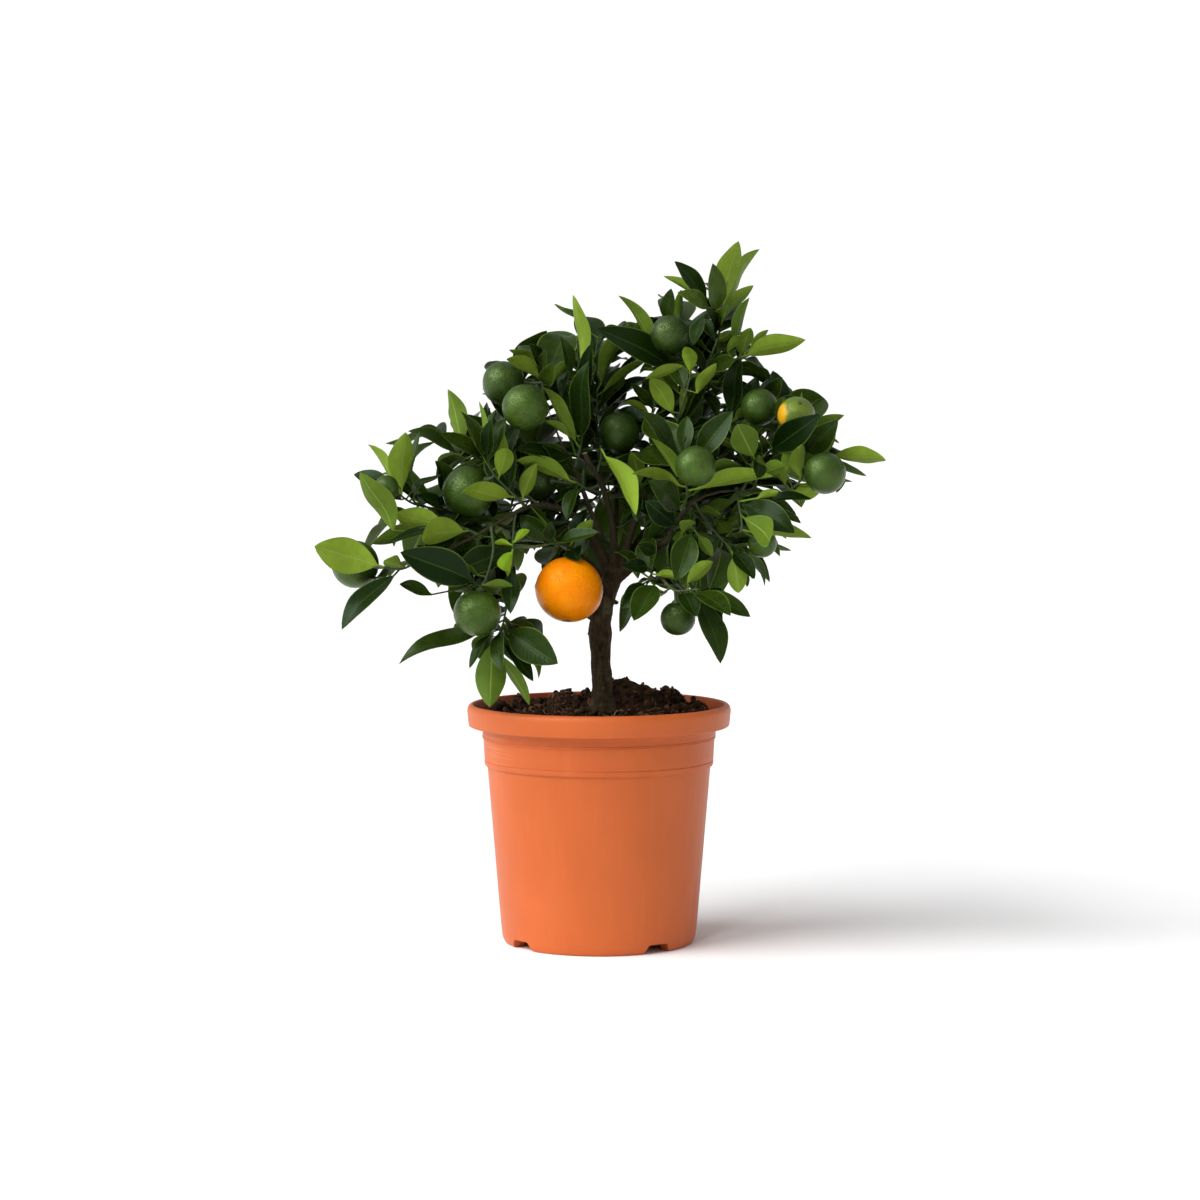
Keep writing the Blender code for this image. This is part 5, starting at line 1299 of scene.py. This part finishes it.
def smoothRoute(points, perSpan):
    knots = [Vector(p) for p in points]
    knots = [2 * knots[0] - knots[1]] + knots + [2 * knots[-1] - knots[-2]]
    route = []
    for i in range(1, len(knots) - 2):
        a, b, c, d = knots[i - 1:i + 3]
        for step in range(perSpan):
            t = step / perSpan
            route.append(0.5 * (2 * b + (c - a) * t + (2 * a - 5 * b + 4 * c - d) * t ** 2
                                + (3 * b - a - 3 * c + d) * t ** 3))
    route.append(knots[-2])
    return route


def onStem(stem, place):  # the nearest place on the stem, kept off its two ends
    best = None
    last = len(stem) - 2
    inset = leafRules["rootInset"] * millimetre
    for index in range(last + 1):
        start, end = stem[index], stem[index + 1]
        along = end - start
        length = along.length
        low = inset / length if index == 0 else 0
        high = 1 - (inset / length if index == last else 0)
        share = min(high, max(low, (place - start).dot(along) / length ** 2))
        point = start + along * share
        if best is None or (point - place).length < (best - place).length:
            best = point
    return best


def ringClear(centre, along, radius, wood):
    side = along.orthogonal().normalized()
    other = along.cross(side).normalized()
    for step in range(8):
        angle = 2 * math.pi * step / 8
        point = centre + (side * math.cos(angle) + other * math.sin(angle)) * radius
        place, normal, _, distance = wood.find_nearest(point)
        if distance < leafRules["gap"] * millimetre or (point - place).dot(normal) < 0:
            return False
    return True


def seatedRoute(points, wood):  # the route from where it stands clear of the wood, and its few stations
    fine = smoothRoute([atEye(p) for p in points], stemForm["fineSteps"])
    for index in range(len(fine) - 1):
        along = (fine[index + 1] - fine[index]).normalized()
        if ringClear(fine[index], along, stemForm["radius"] * millimetre, wood):
            break
    kept = fine[index:]
    count = len(points)
    spaced = [kept[round(i * (len(kept) - 1) / count)] for i in range(count + 1)]
    return kept, spaced


def crosses(line, screen):
    return any(screen.ray_cast(one, (two - one).normalized(), (two - one).length)[0] is not None
               for one, two in zip(line, line[1:]))


def clearestRoute(name, points, wood, screen):  # of some nearby routes, the one with the most room
    rng = random.Random(name + "-route")
    spread = extraRules["routeSpread"]
    best, room = None, -1
    for _ in range(extraRules["routeTries"]):
        shifted = [points[0]] + [tuple(value + rng.uniform(-spread, spread) for value in point)
                                 for point in points[1:]]
        route, spaced = seatedRoute(shifted, wood)
        free = route[stemForm["nearRoot"]:]
        clear = min(screen.find_nearest(place)[3] for place in free)
        if clear > room and not crosses(free, screen):
            best, room = (route, spaced), clear
    return best


def leafPlan(root, base, tip, width, upper, arch, fold):
    axis = (tip - base).normalized()
    upper = (upper - axis * upper.dot(axis)).normalized()
    return {"root": root, "base": base, "tip": tip, "width": width, "upper": upper, "arch": arch,
            "fold": fold}


def leafCorners(leaf):  # the tip and the four edge corners of the solid blade
    base, tip, upper = leaf["base"], leaf["tip"], leaf["upper"]
    side = (tip - base).normalized().cross(upper)
    length = (tip - base).length
    aboveKeel = (1 - leafRules["keelShare"]) * leafRules["bladeThickness"] * millimetre
    corners = [tip]
    for share, station in ((1.0, leafRules["wideStation"]),
                           (leafRules["narrowShare"], leafRules["narrowStation"])):
        middle = base.lerp(tip, station) + upper * (4 * station * (1 - station) * leaf["arch"] * length)
        half = leaf["width"] / 2 * share
        rise = half * math.sin(leaf["fold"])
        top = middle + upper * (rise + aboveKeel)
        out = side * (half * math.cos(leaf["fold"]))
        corners += [top - out, top + out]
    return corners


def leafDraws(rng):
    return rng.uniform(*leafRules["arch"]), math.radians(rng.uniform(*leafRules["fold"]))


def shownLeaf(name, planRoute, stem, leaf, leaning):
    baseX, baseZ, tipX, tipZ, width, face, lean, _ = leaf
    leanShift, rollShift, scale = leaning
    rootPlan = min(planRoute, key=lambda p: math.hypot(p.x - baseX, p.z - baseZ))
    stalkLength = math.hypot(rootPlan.x - baseX, rootPlan.z - baseZ)
    bladeLength = math.hypot(tipX - baseX, tipZ - baseZ)
    depth = lean + leanShift
    baseDepth = rootPlan.y + depth * stalkLength / (stalkLength + bladeLength)
    root = onStem(stem, atEye(rootPlan))
    base = atEye((baseX, baseDepth, baseZ))
    tip = atEye((tipX, rootPlan.y + depth, tipZ))
    short = (base - root).length < leafRules["shortPetiole"] * (tip - root).length
    if short or (base - root).angle(tip - base) > math.radians(leafRules["sharpestBend"]):
        base = root.lerp(tip, leafRules["shortPetiole"])
    tip = root + (tip - root) * scale
    base = root + (base - root) * scale
    axis = (tip - base).normalized()
    toEye = (eye - base.lerp(tip, 0.5)).normalized()
    facing = (toEye - axis * toEye.dot(axis)).normalized()
    sideways = axis.cross(facing)
    length = (tip - base).length
    seenWidth = width * millimetre * scale
    trueWidth = min(max(seenWidth, leafRules["aspect"] * length), leafRules["widestAspect"] * length)
    roll = math.acos(min(1, seenWidth / trueWidth))
    if face == "L":
        facing = -facing
    side = sideways if sideways.z > 0 else -sideways
    turn = Matrix.Rotation(math.radians(rollShift), 3, axis)
    uppers = [turn @ (facing * math.cos(angle) + side * math.sin(angle))
              for angle in (roll, roll * leafRules["rollKept"])]
    plan = leafPlan(root, base, tip, trueWidth, uppers[0], *leafDraws(random.Random(name)))
    return {**plan, "seenUpper": uppers[1],
            "seenWidth": min(trueWidth, seenWidth / math.cos(roll * leafRules["rollKept"]))}


def stemFrame(route, stem, position):
    along = (route[position + 1] - route[position - 1]).normalized()
    side = along.cross(Vector((0, 0, 1))).normalized()
    return onStem(stem, route[position]), along, side, side.cross(along)


def headingOut(along, side, up, angle, tilt):
    return along * math.cos(tilt) + (side * math.cos(angle) + up * math.sin(angle)) * math.sin(tilt)


def grownLeaf(name, route, stem, index, count, growth, away):
    turn, scale = growth
    rng = random.Random(name)
    arch, fold = leafDraws(rng)
    place = (index + leafRules["grownStart"]) / count
    position = min(len(route) - 2, max(3, int(place * (len(route) - 1))))
    root, along, side, up = stemFrame(route, stem, position)
    angle = index * math.radians(leafRules["goldenAngle"]) + rng.uniform(*leafRules["grownSwing"])
    angle += math.radians(turn)
    tilt = math.radians(rng.uniform(*leafRules["grownTilts"]))
    heading = headingOut(along, side, up, angle, tilt)
    if away and heading.y < 0:
        heading.y = -heading.y
    length = rng.uniform(*leafRules["grownLengths"]) * millimetre * scale
    heading.z -= rng.uniform(*leafRules["grownDroop"])
    heading.normalize()
    roll = leafRules["grownRoll"]
    upper = Vector((0, 0, 1)) + along * leafRules["grownRise"] + Vector((rng.uniform(*roll),
                                                                         rng.uniform(*roll), 0))
    width = leafRules["aspect"] * length * rng.uniform(*leafRules["grownWidths"])
    base = root + heading * length * leafRules["grownPetiole"]
    return leafPlan(root, base, root + heading * length, width, upper, arch, fold)


def standingLeaf(plans, places):  # of a leaf's possible plans, the one that the solid has, or None
    misses = [sum(places.find(corner)[2] for corner in leafCorners(plan)) / 5 for plan in plans]
    least = min(misses)
    return plans[misses.index(least)] if least < leafRules["nearEnough"] else None


# Short shoots inside the crown, on the limbs, that close its dark middle

innerShoots = {
    "inner_a": {"stem": [(-8, -4, 226), (-2, 6, 236), (6, 12, 248), (12, 14, 258)]},
    "inner_b": {"stem": [(22, 6, 222), (14, 10, 232), (6, 14, 244)]},
    "inner_c": {"stem": [(28, 8, 232), (38, 16, 240), (50, 20, 250), (60, 20, 258)]},
    "inner_d": {"stem": [(46, -24, 219), (52, -12, 228), (60, -4, 236), (68, 2, 242)]},
    "inner_e": {"stem": [(34, -17, 202), (38, -6, 210), (44, 4, 216), (52, 12, 222)]},
    "inner_f": {"stem": [(-18, -14, 217), (-13, 7, 212), (-31, 12, 224), (-45, 7, 232)]},
    "inner_g": {"stem": [(-45, -31, 214), (-50, -20, 206), (-54, -10, 198)]},
    "inner_h": {"stem": [(-62, -41, 204.5), (-59, -24, 207), (-77, -14, 215)]},
    "inner_i": {"stem": [(7, 1, 204), (-2, 10, 210), (-12, 18, 216), (-22, 22, 218)]},
    "inner_j": {"stem": [(6, 1, 208), (18, 12, 216), (28, 22, 224)]},
}


# More leaves than the solids have: behind those that show, in the crown's dense middle and before the limbs

extraRules = {
    "wanted": {"front": 21, "back": 18, "inner": 44},
    # painted shade: the added leaves stand inside the crown, so their tones are drawn low, lowest in its
    # middle
    "paintedShadeTones": {"front": 0.3, "back": 0.3, "inner": 0.15},
    "tries": 85,
    "lengths": (21, 38),
    "tilts": (35, 85),
    "widths": (0.9, 1.1),
    "rise": 0.4,
    "roll": (-0.6, 0.6),
    "forward": -0.2,  # a front spray's leaf that heads further forward than this is turned back
    "petiole": 0.16,
    "clearance": 0.0005,
    "hullStart": 0.2,  # how far up the petiole its hull begins
    "probes": (0.25, 0.5, 0.75),  # shares of the blade's length that are looked at from the camera
    "beyond": 9,
    "trunkTop": 0.203,
    "trunkReach": 0.026,
    "cores": [(22, 249, 84, 55), (-48, 222, 42, 24), (62, 226, 40, 30), (-34, 211, 30, 12)],
    "hiddenEnough": 0.72,
    "routeTries": 60,
    "routeSpread": 5,
}


def leafHull(plan):
    corners = leafCorners(plan)
    under = plan["upper"] * extraRules["clearance"]
    base = plan["base"].lerp(plan["root"], extraRules["hullStart"])
    verts = [base] + corners + [base - under] + [corner - under * 2 for corner in corners]
    top = [(0, 2, 3), (2, 4, 5), (2, 5, 3), (4, 1, 5)]
    faces = top + [tuple(i + 6 for i in reversed(face)) for face in top]
    return BVHTree.FromPolygons(verts, faces)


def inCore(point):  # seen in one of the dense ellipses: (across, height, half width, half height)
    reach = outlook["eyeDistance"] / (point.y + outlook["eyeDistance"])
    across = point.x * reach / millimetre
    rise = (eye.z + (point.z - eye.z) * reach) / millimetre
    return any(((across - x) / halfWidth) ** 2 + ((rise - z) / halfHeight) ** 2 < 1
               for x, z, halfWidth, halfHeight in extraRules["cores"])


def hiddenShare(plan, shown, wood):  # by leaves, fruit, wood or a core; 0 if it stands before a leaf
    points = leafCorners(plan) + [plan["base"].lerp(plan["tip"], share) for share in extraRules["probes"]]
    hidden = 0
    for point in points:
        ray = point - eye
        distance = shown.ray_cast(eye, ray.normalized())[3]
        if distance is not None and distance > ray.length:
            return 0
        onTrunk = point.z < extraRules["trunkTop"] and abs(point.x) < extraRules["trunkReach"]
        reach = ray.length if onTrunk else extraRules["beyond"]
        behindWood = wood.ray_cast(eye, ray.normalized(), reach)[3] is not None
        hidden += 1 if distance is not None or behindWood else inCore(point)
    return hidden / len(points)


def extraLeaf(rng, route, stem, away):
    root, along, side, up = stemFrame(route, stem, rng.randint(3, len(route) - 2))
    angle = rng.uniform(0, 2 * math.pi)
    heading = headingOut(along, side, up, angle, math.radians(rng.uniform(*extraRules["tilts"])))
    if away and heading.y < extraRules["forward"]:
        heading.y = -heading.y
    heading.normalize()
    length = rng.uniform(*extraRules["lengths"]) * millimetre
    rolled = Vector([rng.uniform(*extraRules["roll"]) for _ in range(3)])
    upper = Vector((0, 0, 1)) + along * extraRules["rise"] + rolled
    width = leafRules["aspect"] * length * rng.uniform(*extraRules["widths"])
    base = root + heading * length * extraRules["petiole"]
    return leafPlan(root, base, root + heading * length, width, upper, *leafDraws(rng))


bladeForm = {
    "sizes": {"Steps Along": 18, "Steps Across": 7, "Petiole Share": 0.12, "Petiole Half Width": 0.00052,
              "Petiole Thickness": 0.00095, "Blade Thickness": 0.00042, "Midrib Depth": 0.00022,
              "Edge Waves": 2.0},
    "widestShift": 0.92,
    "fullness": 0.8,
    "petioleTaper": 0.6,
    "foldCurve": 1.35,
    "midribFall": -90,
    "midribFrom": 0.02,
    "thinOver": 0.16,  # from the petiole's thickness to the blade's
    "edgeThinning": 0.72,
    "tipTaper": 12,
    "mergeDistance": 0.00001,
    "twistFrom": 0.4,
    "waveTurns": 6.2832,
    "waveSlant": 1.3,
    "wider": 1.1,
    "shownFreedom": 0.6,  # a leaf that shows keeps its outline
    "archMore": (-0.02, 0.05),
    "foldMore": {"shown": 0.08, "added": 0.22},
    "curl": (-0.06, 0.06),
    "twist": (-0.38, 0.38),
    "wave": (0.01, 0.055),
    "wavePhase": (0, 6.28),
}


def bladeTree():  # each leaf root carries its own petiole, blade, upper side, width and bends
    tree, entry, given = openTree("leafBlades", [
        (label, "Int" if label.startswith("Steps") else "Float", value)
        for label, value in bladeForm["sizes"].items()] + [("Finish", "Material", None)])
    cube = addNode(tree, "GeometryNodeMeshCube", {"Vertices X": given["Steps Along"],
                                                  "Vertices Y": given["Steps Across"], "Vertices Z": 2})
    shifted = newField(tree, "GeometryNodeInputPosition").vectorMath("ADD", (0.5, 0, 0))
    template = keepAttribute(tree, cube.outputs["Mesh"], "leafPlace", shifted)
    placed = newField(tree, "GeometryNodeInstanceOnPoints", {"Points": entry, "Instance": template})
    real = newField(tree, "GeometryNodeRealizeInstances", {0: placed})

    along, across, side = attribute(tree, "leafPlace", "FLOAT_VECTOR").xyz()
    across = across * 2
    petioleShare = given["Petiole Share"]
    onStalk = (along / petioleShare).math("MINIMUM", 1.0)
    onBlade = ((along - petioleShare) / (1.0 - petioleShare)).math("MAXIMUM", 0.0)
    left = 1.0 - onBlade
    blade = attribute(tree, "bladeLine", "FLOAT_VECTOR")
    upper = attribute(tree, "upperSide", "FLOAT_VECTOR")
    axis = blade.vectorMath("NORMALIZE")
    twist = attribute(tree, "twist") * (onBlade - bladeForm["twistFrom"])
    outward = newField(tree, "ShaderNodeVectorRotate",
                       {"Vector": upper.vectorMath("CROSS_PRODUCT", axis), "Axis": axis, "Angle": twist},
                       rotation_type="AXIS_ANGLE")
    normal = axis.vectorMath("CROSS_PRODUCT", outward)
    turns = onBlade * bladeForm["waveTurns"]
    bend = onBlade * left * 4 * attribute(tree, "arch") + turns.math("SINE") * attribute(tree, "curl")
    centre = (attribute(tree, "leafRoot", "FLOAT_VECTOR")
              + attribute(tree, "petioleLine", "FLOAT_VECTOR") * onStalk + blade * onBlade
              + upper * (bend * blade.vectorMath("LENGTH")))
    outline = ((onBlade ** bladeForm["widestShift"]) * math.pi).math("SINE").math("MAXIMUM", 0.0)
    half = (outline ** bladeForm["fullness"]) * attribute(tree, "leafWidth") * 0.5
    half = half.math("MAXIMUM", given["Petiole Half Width"] * (left ** bladeForm["petioleTaper"]))
    fold = attribute(tree, "fold")
    waves = (onBlade * given["Edge Waves"] * bladeForm["waveTurns"] + attribute(tree, "wavePhase")
             + across * bladeForm["waveSlant"]).math("SINE")
    rise = half * (fold.math("SINE") * (across.math("ABSOLUTE") ** bladeForm["foldCurve"])
                   + waves * attribute(tree, "wave") * (across * across))
    rib = (across * across * bladeForm["midribFall"]).math("EXPONENT") * given["Midrib Depth"]
    rise = rise - rib * onBlade.math("GREATER_THAN", bladeForm["midribFrom"]) * left
    thick = newField(tree, "ShaderNodeMapRange",
                     {"Value": onBlade, "From Min": 0.0, "From Max": bladeForm["thinOver"],
                      "To Min": given["Petiole Thickness"], "To Max": given["Blade Thickness"]})
    thick = thick * (1.0 - across * across * bladeForm["edgeThinning"])
    thick = thick * (left * bladeForm["tipTaper"]).math("MINIMUM", 1.0)
    position = (centre + outward * (across * half * fold.math("COSINE"))
                + normal * (rise + side * thick))
    moved = newField(tree, "GeometryNodeSetPosition", {"Geometry": real, "Position": position})
    merged = newField(tree, "GeometryNodeMergeByDistance", {"Geometry": moved,
                                                           "Distance": bladeForm["mergeDistance"]})
    return closeTree(tree, merged, given["Finish"])


leafTree = bladeTree()


def leafPoints(name, leaves):  # one point for each leaf, with all that shapes it
    mesh = bpy.data.meshes.new(name)
    mesh.from_pydata([(0, 0, 0)] * len(leaves), [], [])
    vectors = {"leafRoot": [], "petioleLine": [], "bladeLine": [], "upperSide": []}
    numbers = {"leafWidth": [], "arch": [], "fold": [], "curl": [], "twist": [], "wave": [],
               "wavePhase": [], "tone": []}
    for key, plan, tone in leaves:
        rng = random.Random(key + "-bends")
        shown = "seenUpper" in plan
        freedom = bladeForm["shownFreedom"] if shown else 1
        vectors["leafRoot"].extend(plan["root"])
        vectors["petioleLine"].extend(plan["base"] - plan["root"])
        vectors["bladeLine"].extend(plan["tip"] - plan["base"])
        vectors["upperSide"].extend(plan["seenUpper"] if shown else plan["upper"])
        numbers["leafWidth"].append(plan["seenWidth" if shown else "width"] * bladeForm["wider"])
        numbers["arch"].append(plan["arch"] + rng.uniform(*bladeForm["archMore"]))
        numbers["fold"].append(plan["fold"] + rng.uniform(0.0, bladeForm["foldMore"][
            "shown" if shown else "added"]))
        for bend in ("curl", "twist"):
            numbers[bend].append(rng.uniform(*bladeForm[bend]) * freedom)
        for bend in ("wave", "wavePhase"):
            numbers[bend].append(rng.uniform(*bladeForm[bend]))
        numbers["tone"].append(tone)
    for key, values in vectors.items():
        keepValues(mesh, key, values, "FLOAT_VECTOR")
    for key, values in numbers.items():
        keepValues(mesh, key, values)
    return mesh


def joinedMesh(name, objects):
    shape = bmesh.new()
    materials = []
    for obj in objects:
        start = len(shape.faces)
        shape.from_mesh(obj.data)
        shape.faces.ensure_lookup_table()
        for face in shape.faces[start:]:
            face.material_index = len(materials)
        materials.append(next(material for material in obj.data.materials if material))
        bpy.data.objects.remove(obj)
    mesh = meshFrom(name, shape)
    for material in materials:
        mesh.materials.append(material)
    return mesh


def stalkChain(start, place, radius, side):  # from the stem to the dimple, widening to the calyx
    flat = radius * berryForm["flatness"]
    end, ring, neck = [place + side * (flat + height * millimetre) for height in stemForm["calyxHeights"]]
    middle = start.lerp(neck, 0.5) + Vector((0, 0, stemForm["stalkSag"] * millimetre))
    thin = stemForm["stalkRadius"] * stemForm["stalkThin"] * millimetre
    calyx = stemForm["calyxRadius"]
    return [(start, thin), (middle, thin), (neck, thin * stemForm["stalkNeck"]),
            (ring, calyx * millimetre), (end, calyx * stemForm["calyxEnd"] * millimetre)]


def stemChain(route):  # from inside the wood to the tip
    radius = stemForm["radius"]
    last = len(route) - 1
    chain = [(place, stemForm["thin"] * radius * millimetre * (1 - stemForm["taper"] * step / last))
             for step, place in enumerate(route)][::stemForm["every"]]
    into = (route[0] - route[3]).normalized() * stemForm["rootDepth"] * millimetre
    return [(route[0] + into, radius * stemForm["root"] * millimetre)] + chain + [
        (route[-1], radius * stemForm["tip"] * millimetre)]


def solidTree(nodes):
    verts, faces = [], []
    for node in nodes:
        start = len(verts)
        verts += [v.co.copy() for v in node.data.vertices]
        faces += [tuple(i + start for i in p.vertices) for p in node.data.polygons]
    return BVHTree.FromPolygons(verts, faces)


def solidLeaves(name, spray, route, spaced, missing):  # the leaves that the spray's solid has
    solid = frame["nodes"][name].data
    places = kdtree.KDTree(len(solid.vertices))
    for index, vert in enumerate(solid.vertices):
        places.insert(vert.co, index)
    places.balance()
    leaves = []
    planRoute = smoothRoute(spray["stem"], stemForm["planSteps"])[stemForm["nearRoot"]:]
    for index, leaf in enumerate(spray.get("leaves", [])):
        key = f"{name}-{index}"
        plans = [shownLeaf(key, planRoute, spaced, leaf, leaning) for leaning in leanings]
        plan = standingLeaf(plans, places)
        if plan:
            leaves.append((key, plan, leaf[-1]))
        else:
            missing.append(key)
    count = spray.get("count", 1)
    growths = [(turn, scale) for scale in leafRules["grownScales"] for turn in leafRules["grownTurns"]]
    for index in range(count):
        key = f"{name}-grown-{index}"
        plans = [grownLeaf(key, route, spaced, index, count, growth, name in sprays) for growth in growths]
        plan = standingLeaf(plans, places)
        if plan:
            leaves.append((key, plan, random.Random(key + "-tone").uniform(*leafRules["grownTones"])))
    return leaves


def addedLeaves(name, kind, route, spaced, wood, screen, hulls):
    rng = random.Random(name + "-more")
    wanted = extraRules["wanted"][kind]
    leaves = []
    for index in range(wanted * extraRules["tries"]):
        if len(leaves) == wanted:
            break
        plan = extraLeaf(rng, route, spaced, kind == "front")
        if any(not low < at < high for low, at, high in zip(cadBox[0], plan["tip"], cadBox[1])):
            continue
        if hiddenShare(plan, screen, wood) < extraRules["hiddenEnough"]:
            continue
        hull = leafHull(plan)
        if any(hull.overlap(other) for other in (screen, wood, *hulls)):
            continue
        hulls.append(hull)
        # painted shade on the added leaf: a dark tone drawn up to its kind's limit
        leaves.append((f"{name}-more-{index}", plan, rng.uniform(0.0, extraRules["paintedShadeTones"][kind])))
    return leaves


def makeSprays():
    nodes = frame["nodes"]
    wood = solidTree([nodes["wood"]])
    screen = solidTree([node for name, node in nodes.items() if name not in ("pot", "soil", "wood")])
    hulls, missing = [], []
    total = 0
    for kind, group in (("front", sprays), ("back", backSprays), ("inner", innerShoots)):
        for name, spray in group.items():
            if kind == "inner":
                route, spaced = clearestRoute(name, spray["stem"], wood, screen)
                leaves = []
            else:
                route, spaced = seatedRoute(spray["stem"], wood)
                leaves = solidLeaves(name, spray, route, spaced, missing)
            leaves += addedLeaves(name, kind, route, spaced, wood, screen, hulls)
            chains = [stemChain(route)]
            for fruit in spray.get("fruits", []):
                start = onStem(spaced, atEye(fruits[fruit][:3]))
                chains.append(stalkChain(start, *makeFruit(fruit, start)))
            stems = newObject(name + "_stems", chainMesh(name + "_stems", chains))
            useTree(stems, stemTree, {"Sides": 8, "Finish": finishes["twig"]})
            stems.data = plainMesh(stems)
            blades = newObject(name + "_blades", leafPoints(name + "_blades", leaves))
            useTree(blades, leafTree, {**bladeForm["sizes"], "Finish": finishes["leaf"]})
            blades.data = plainMesh(blades)
            title = "foliage_" + name.removeprefix("spray_")
            foliage = newObject(title, bpy.data.meshes.new(name))
            replaced = [] if kind == "inner" else [name]
            finished(foliage, joinedMesh(title, [stems, blades]), replaced, "leaves", 55)
            total += len(leaves)
    print("leaves grown:", total, "of them added:", len(hulls), "not matched:", missing)


makeSprays()


# Stage, light and camera

stageForm = {
    "floorRadius": 14,
    "floorTone": (0.9, 0.9, 0.9, 1),
    "floorMottle": 0.99,
    "skyLow": 1.04,
    "skyHigh": 0.44,
    "skyTurn": (0.123, 0.17),
    "sunHeading": (0.91, 0.41),
    "sunHeight": 38,
    "sunAngle": 55,
    "sunStrength": 4.1,
    "fillPlace": (-0.6, -1.9, 1.7),
    "fillAim": (0, 0, 0.2),
    "fillSize": 0.45,
    "fillPower": 11,
    "floorRoughness": 0.9,
    "floorShine": 0.1,
}


def makeFloor():
    shape = bmesh.new()
    bmesh.ops.create_circle(shape, cap_ends=True, segments=96, radius=stageForm["floorRadius"])
    floor = newObject("floor", meshFrom("floor", shape))
    material, tree, surface = newMaterial("floorFinish")
    tone = stageForm["floorTone"]
    darker = tuple(share * stageForm["floorMottle"] for share in tone[:3]) + (1,)
    setInputs(surface, {"Base Color": blend(cloud(objectPlace(tree), 3, 2), tone, darker),
                        "Roughness": stageForm["floorRoughness"],
                        "Specular IOR Level": stageForm["floorShine"]})
    floor.data.materials.append(material)


def makeLamp(name, kind, strength, heading):
    lamp = bpy.data.lights.new(name, kind)
    lamp.energy = strength
    obj = newObject(name, lamp)
    obj.rotation_euler = heading.to_track_quat("-Z", "Y").to_euler()
    return obj


def makeLights():
    place = Vector(stageForm["fillPlace"])
    fill = makeLamp("fill", "AREA", stageForm["fillPower"], Vector(stageForm["fillAim"]) - place)
    fill.data.shape = "DISK"
    fill.data.size = stageForm["fillSize"]
    fill.location = place
    low = math.cos(math.radians(stageForm["sunHeight"]))
    across, depth = stageForm["sunHeading"]
    falling = Vector((across * low, depth * low, -math.sin(math.radians(stageForm["sunHeight"]))))
    sun = makeLamp("key", "SUN", stageForm["sunStrength"], falling)
    sun.data.angle = math.radians(stageForm["sunAngle"])
    world = bpy.data.worlds.new("studio")
    world.use_nodes = True
    tree = world.node_tree
    height = newField(tree, "ShaderNodeTexCoord", (), "Generated").xyz()[2]
    glow = between(height, *stageForm["skyTurn"], stageForm["skyLow"], stageForm["skyHigh"])
    setInputs(tree.nodes["Background"], {"Color": (1, 1, 1, 1), "Strength": glow})
    bpy.context.scene.world = world


def makeCamera():
    camera = bpy.data.cameras.new("camera")
    camera.lens = outlook["lens"]
    camera.sensor_width = 36
    view = newObject("camera", camera)
    view.location = (outlook["eyeAcross"], -outlook["eyeDistance"], outlook["eyeHeight"])
    view.rotation_euler = (math.radians(90 - outlook["pitchDown"]), 0, 0)
    bpy.context.scene.camera = view
    bpy.context.scene.view_settings.view_transform = "Standard"


makeFloor()
makeLights()
makeCamera()
print("stage set")
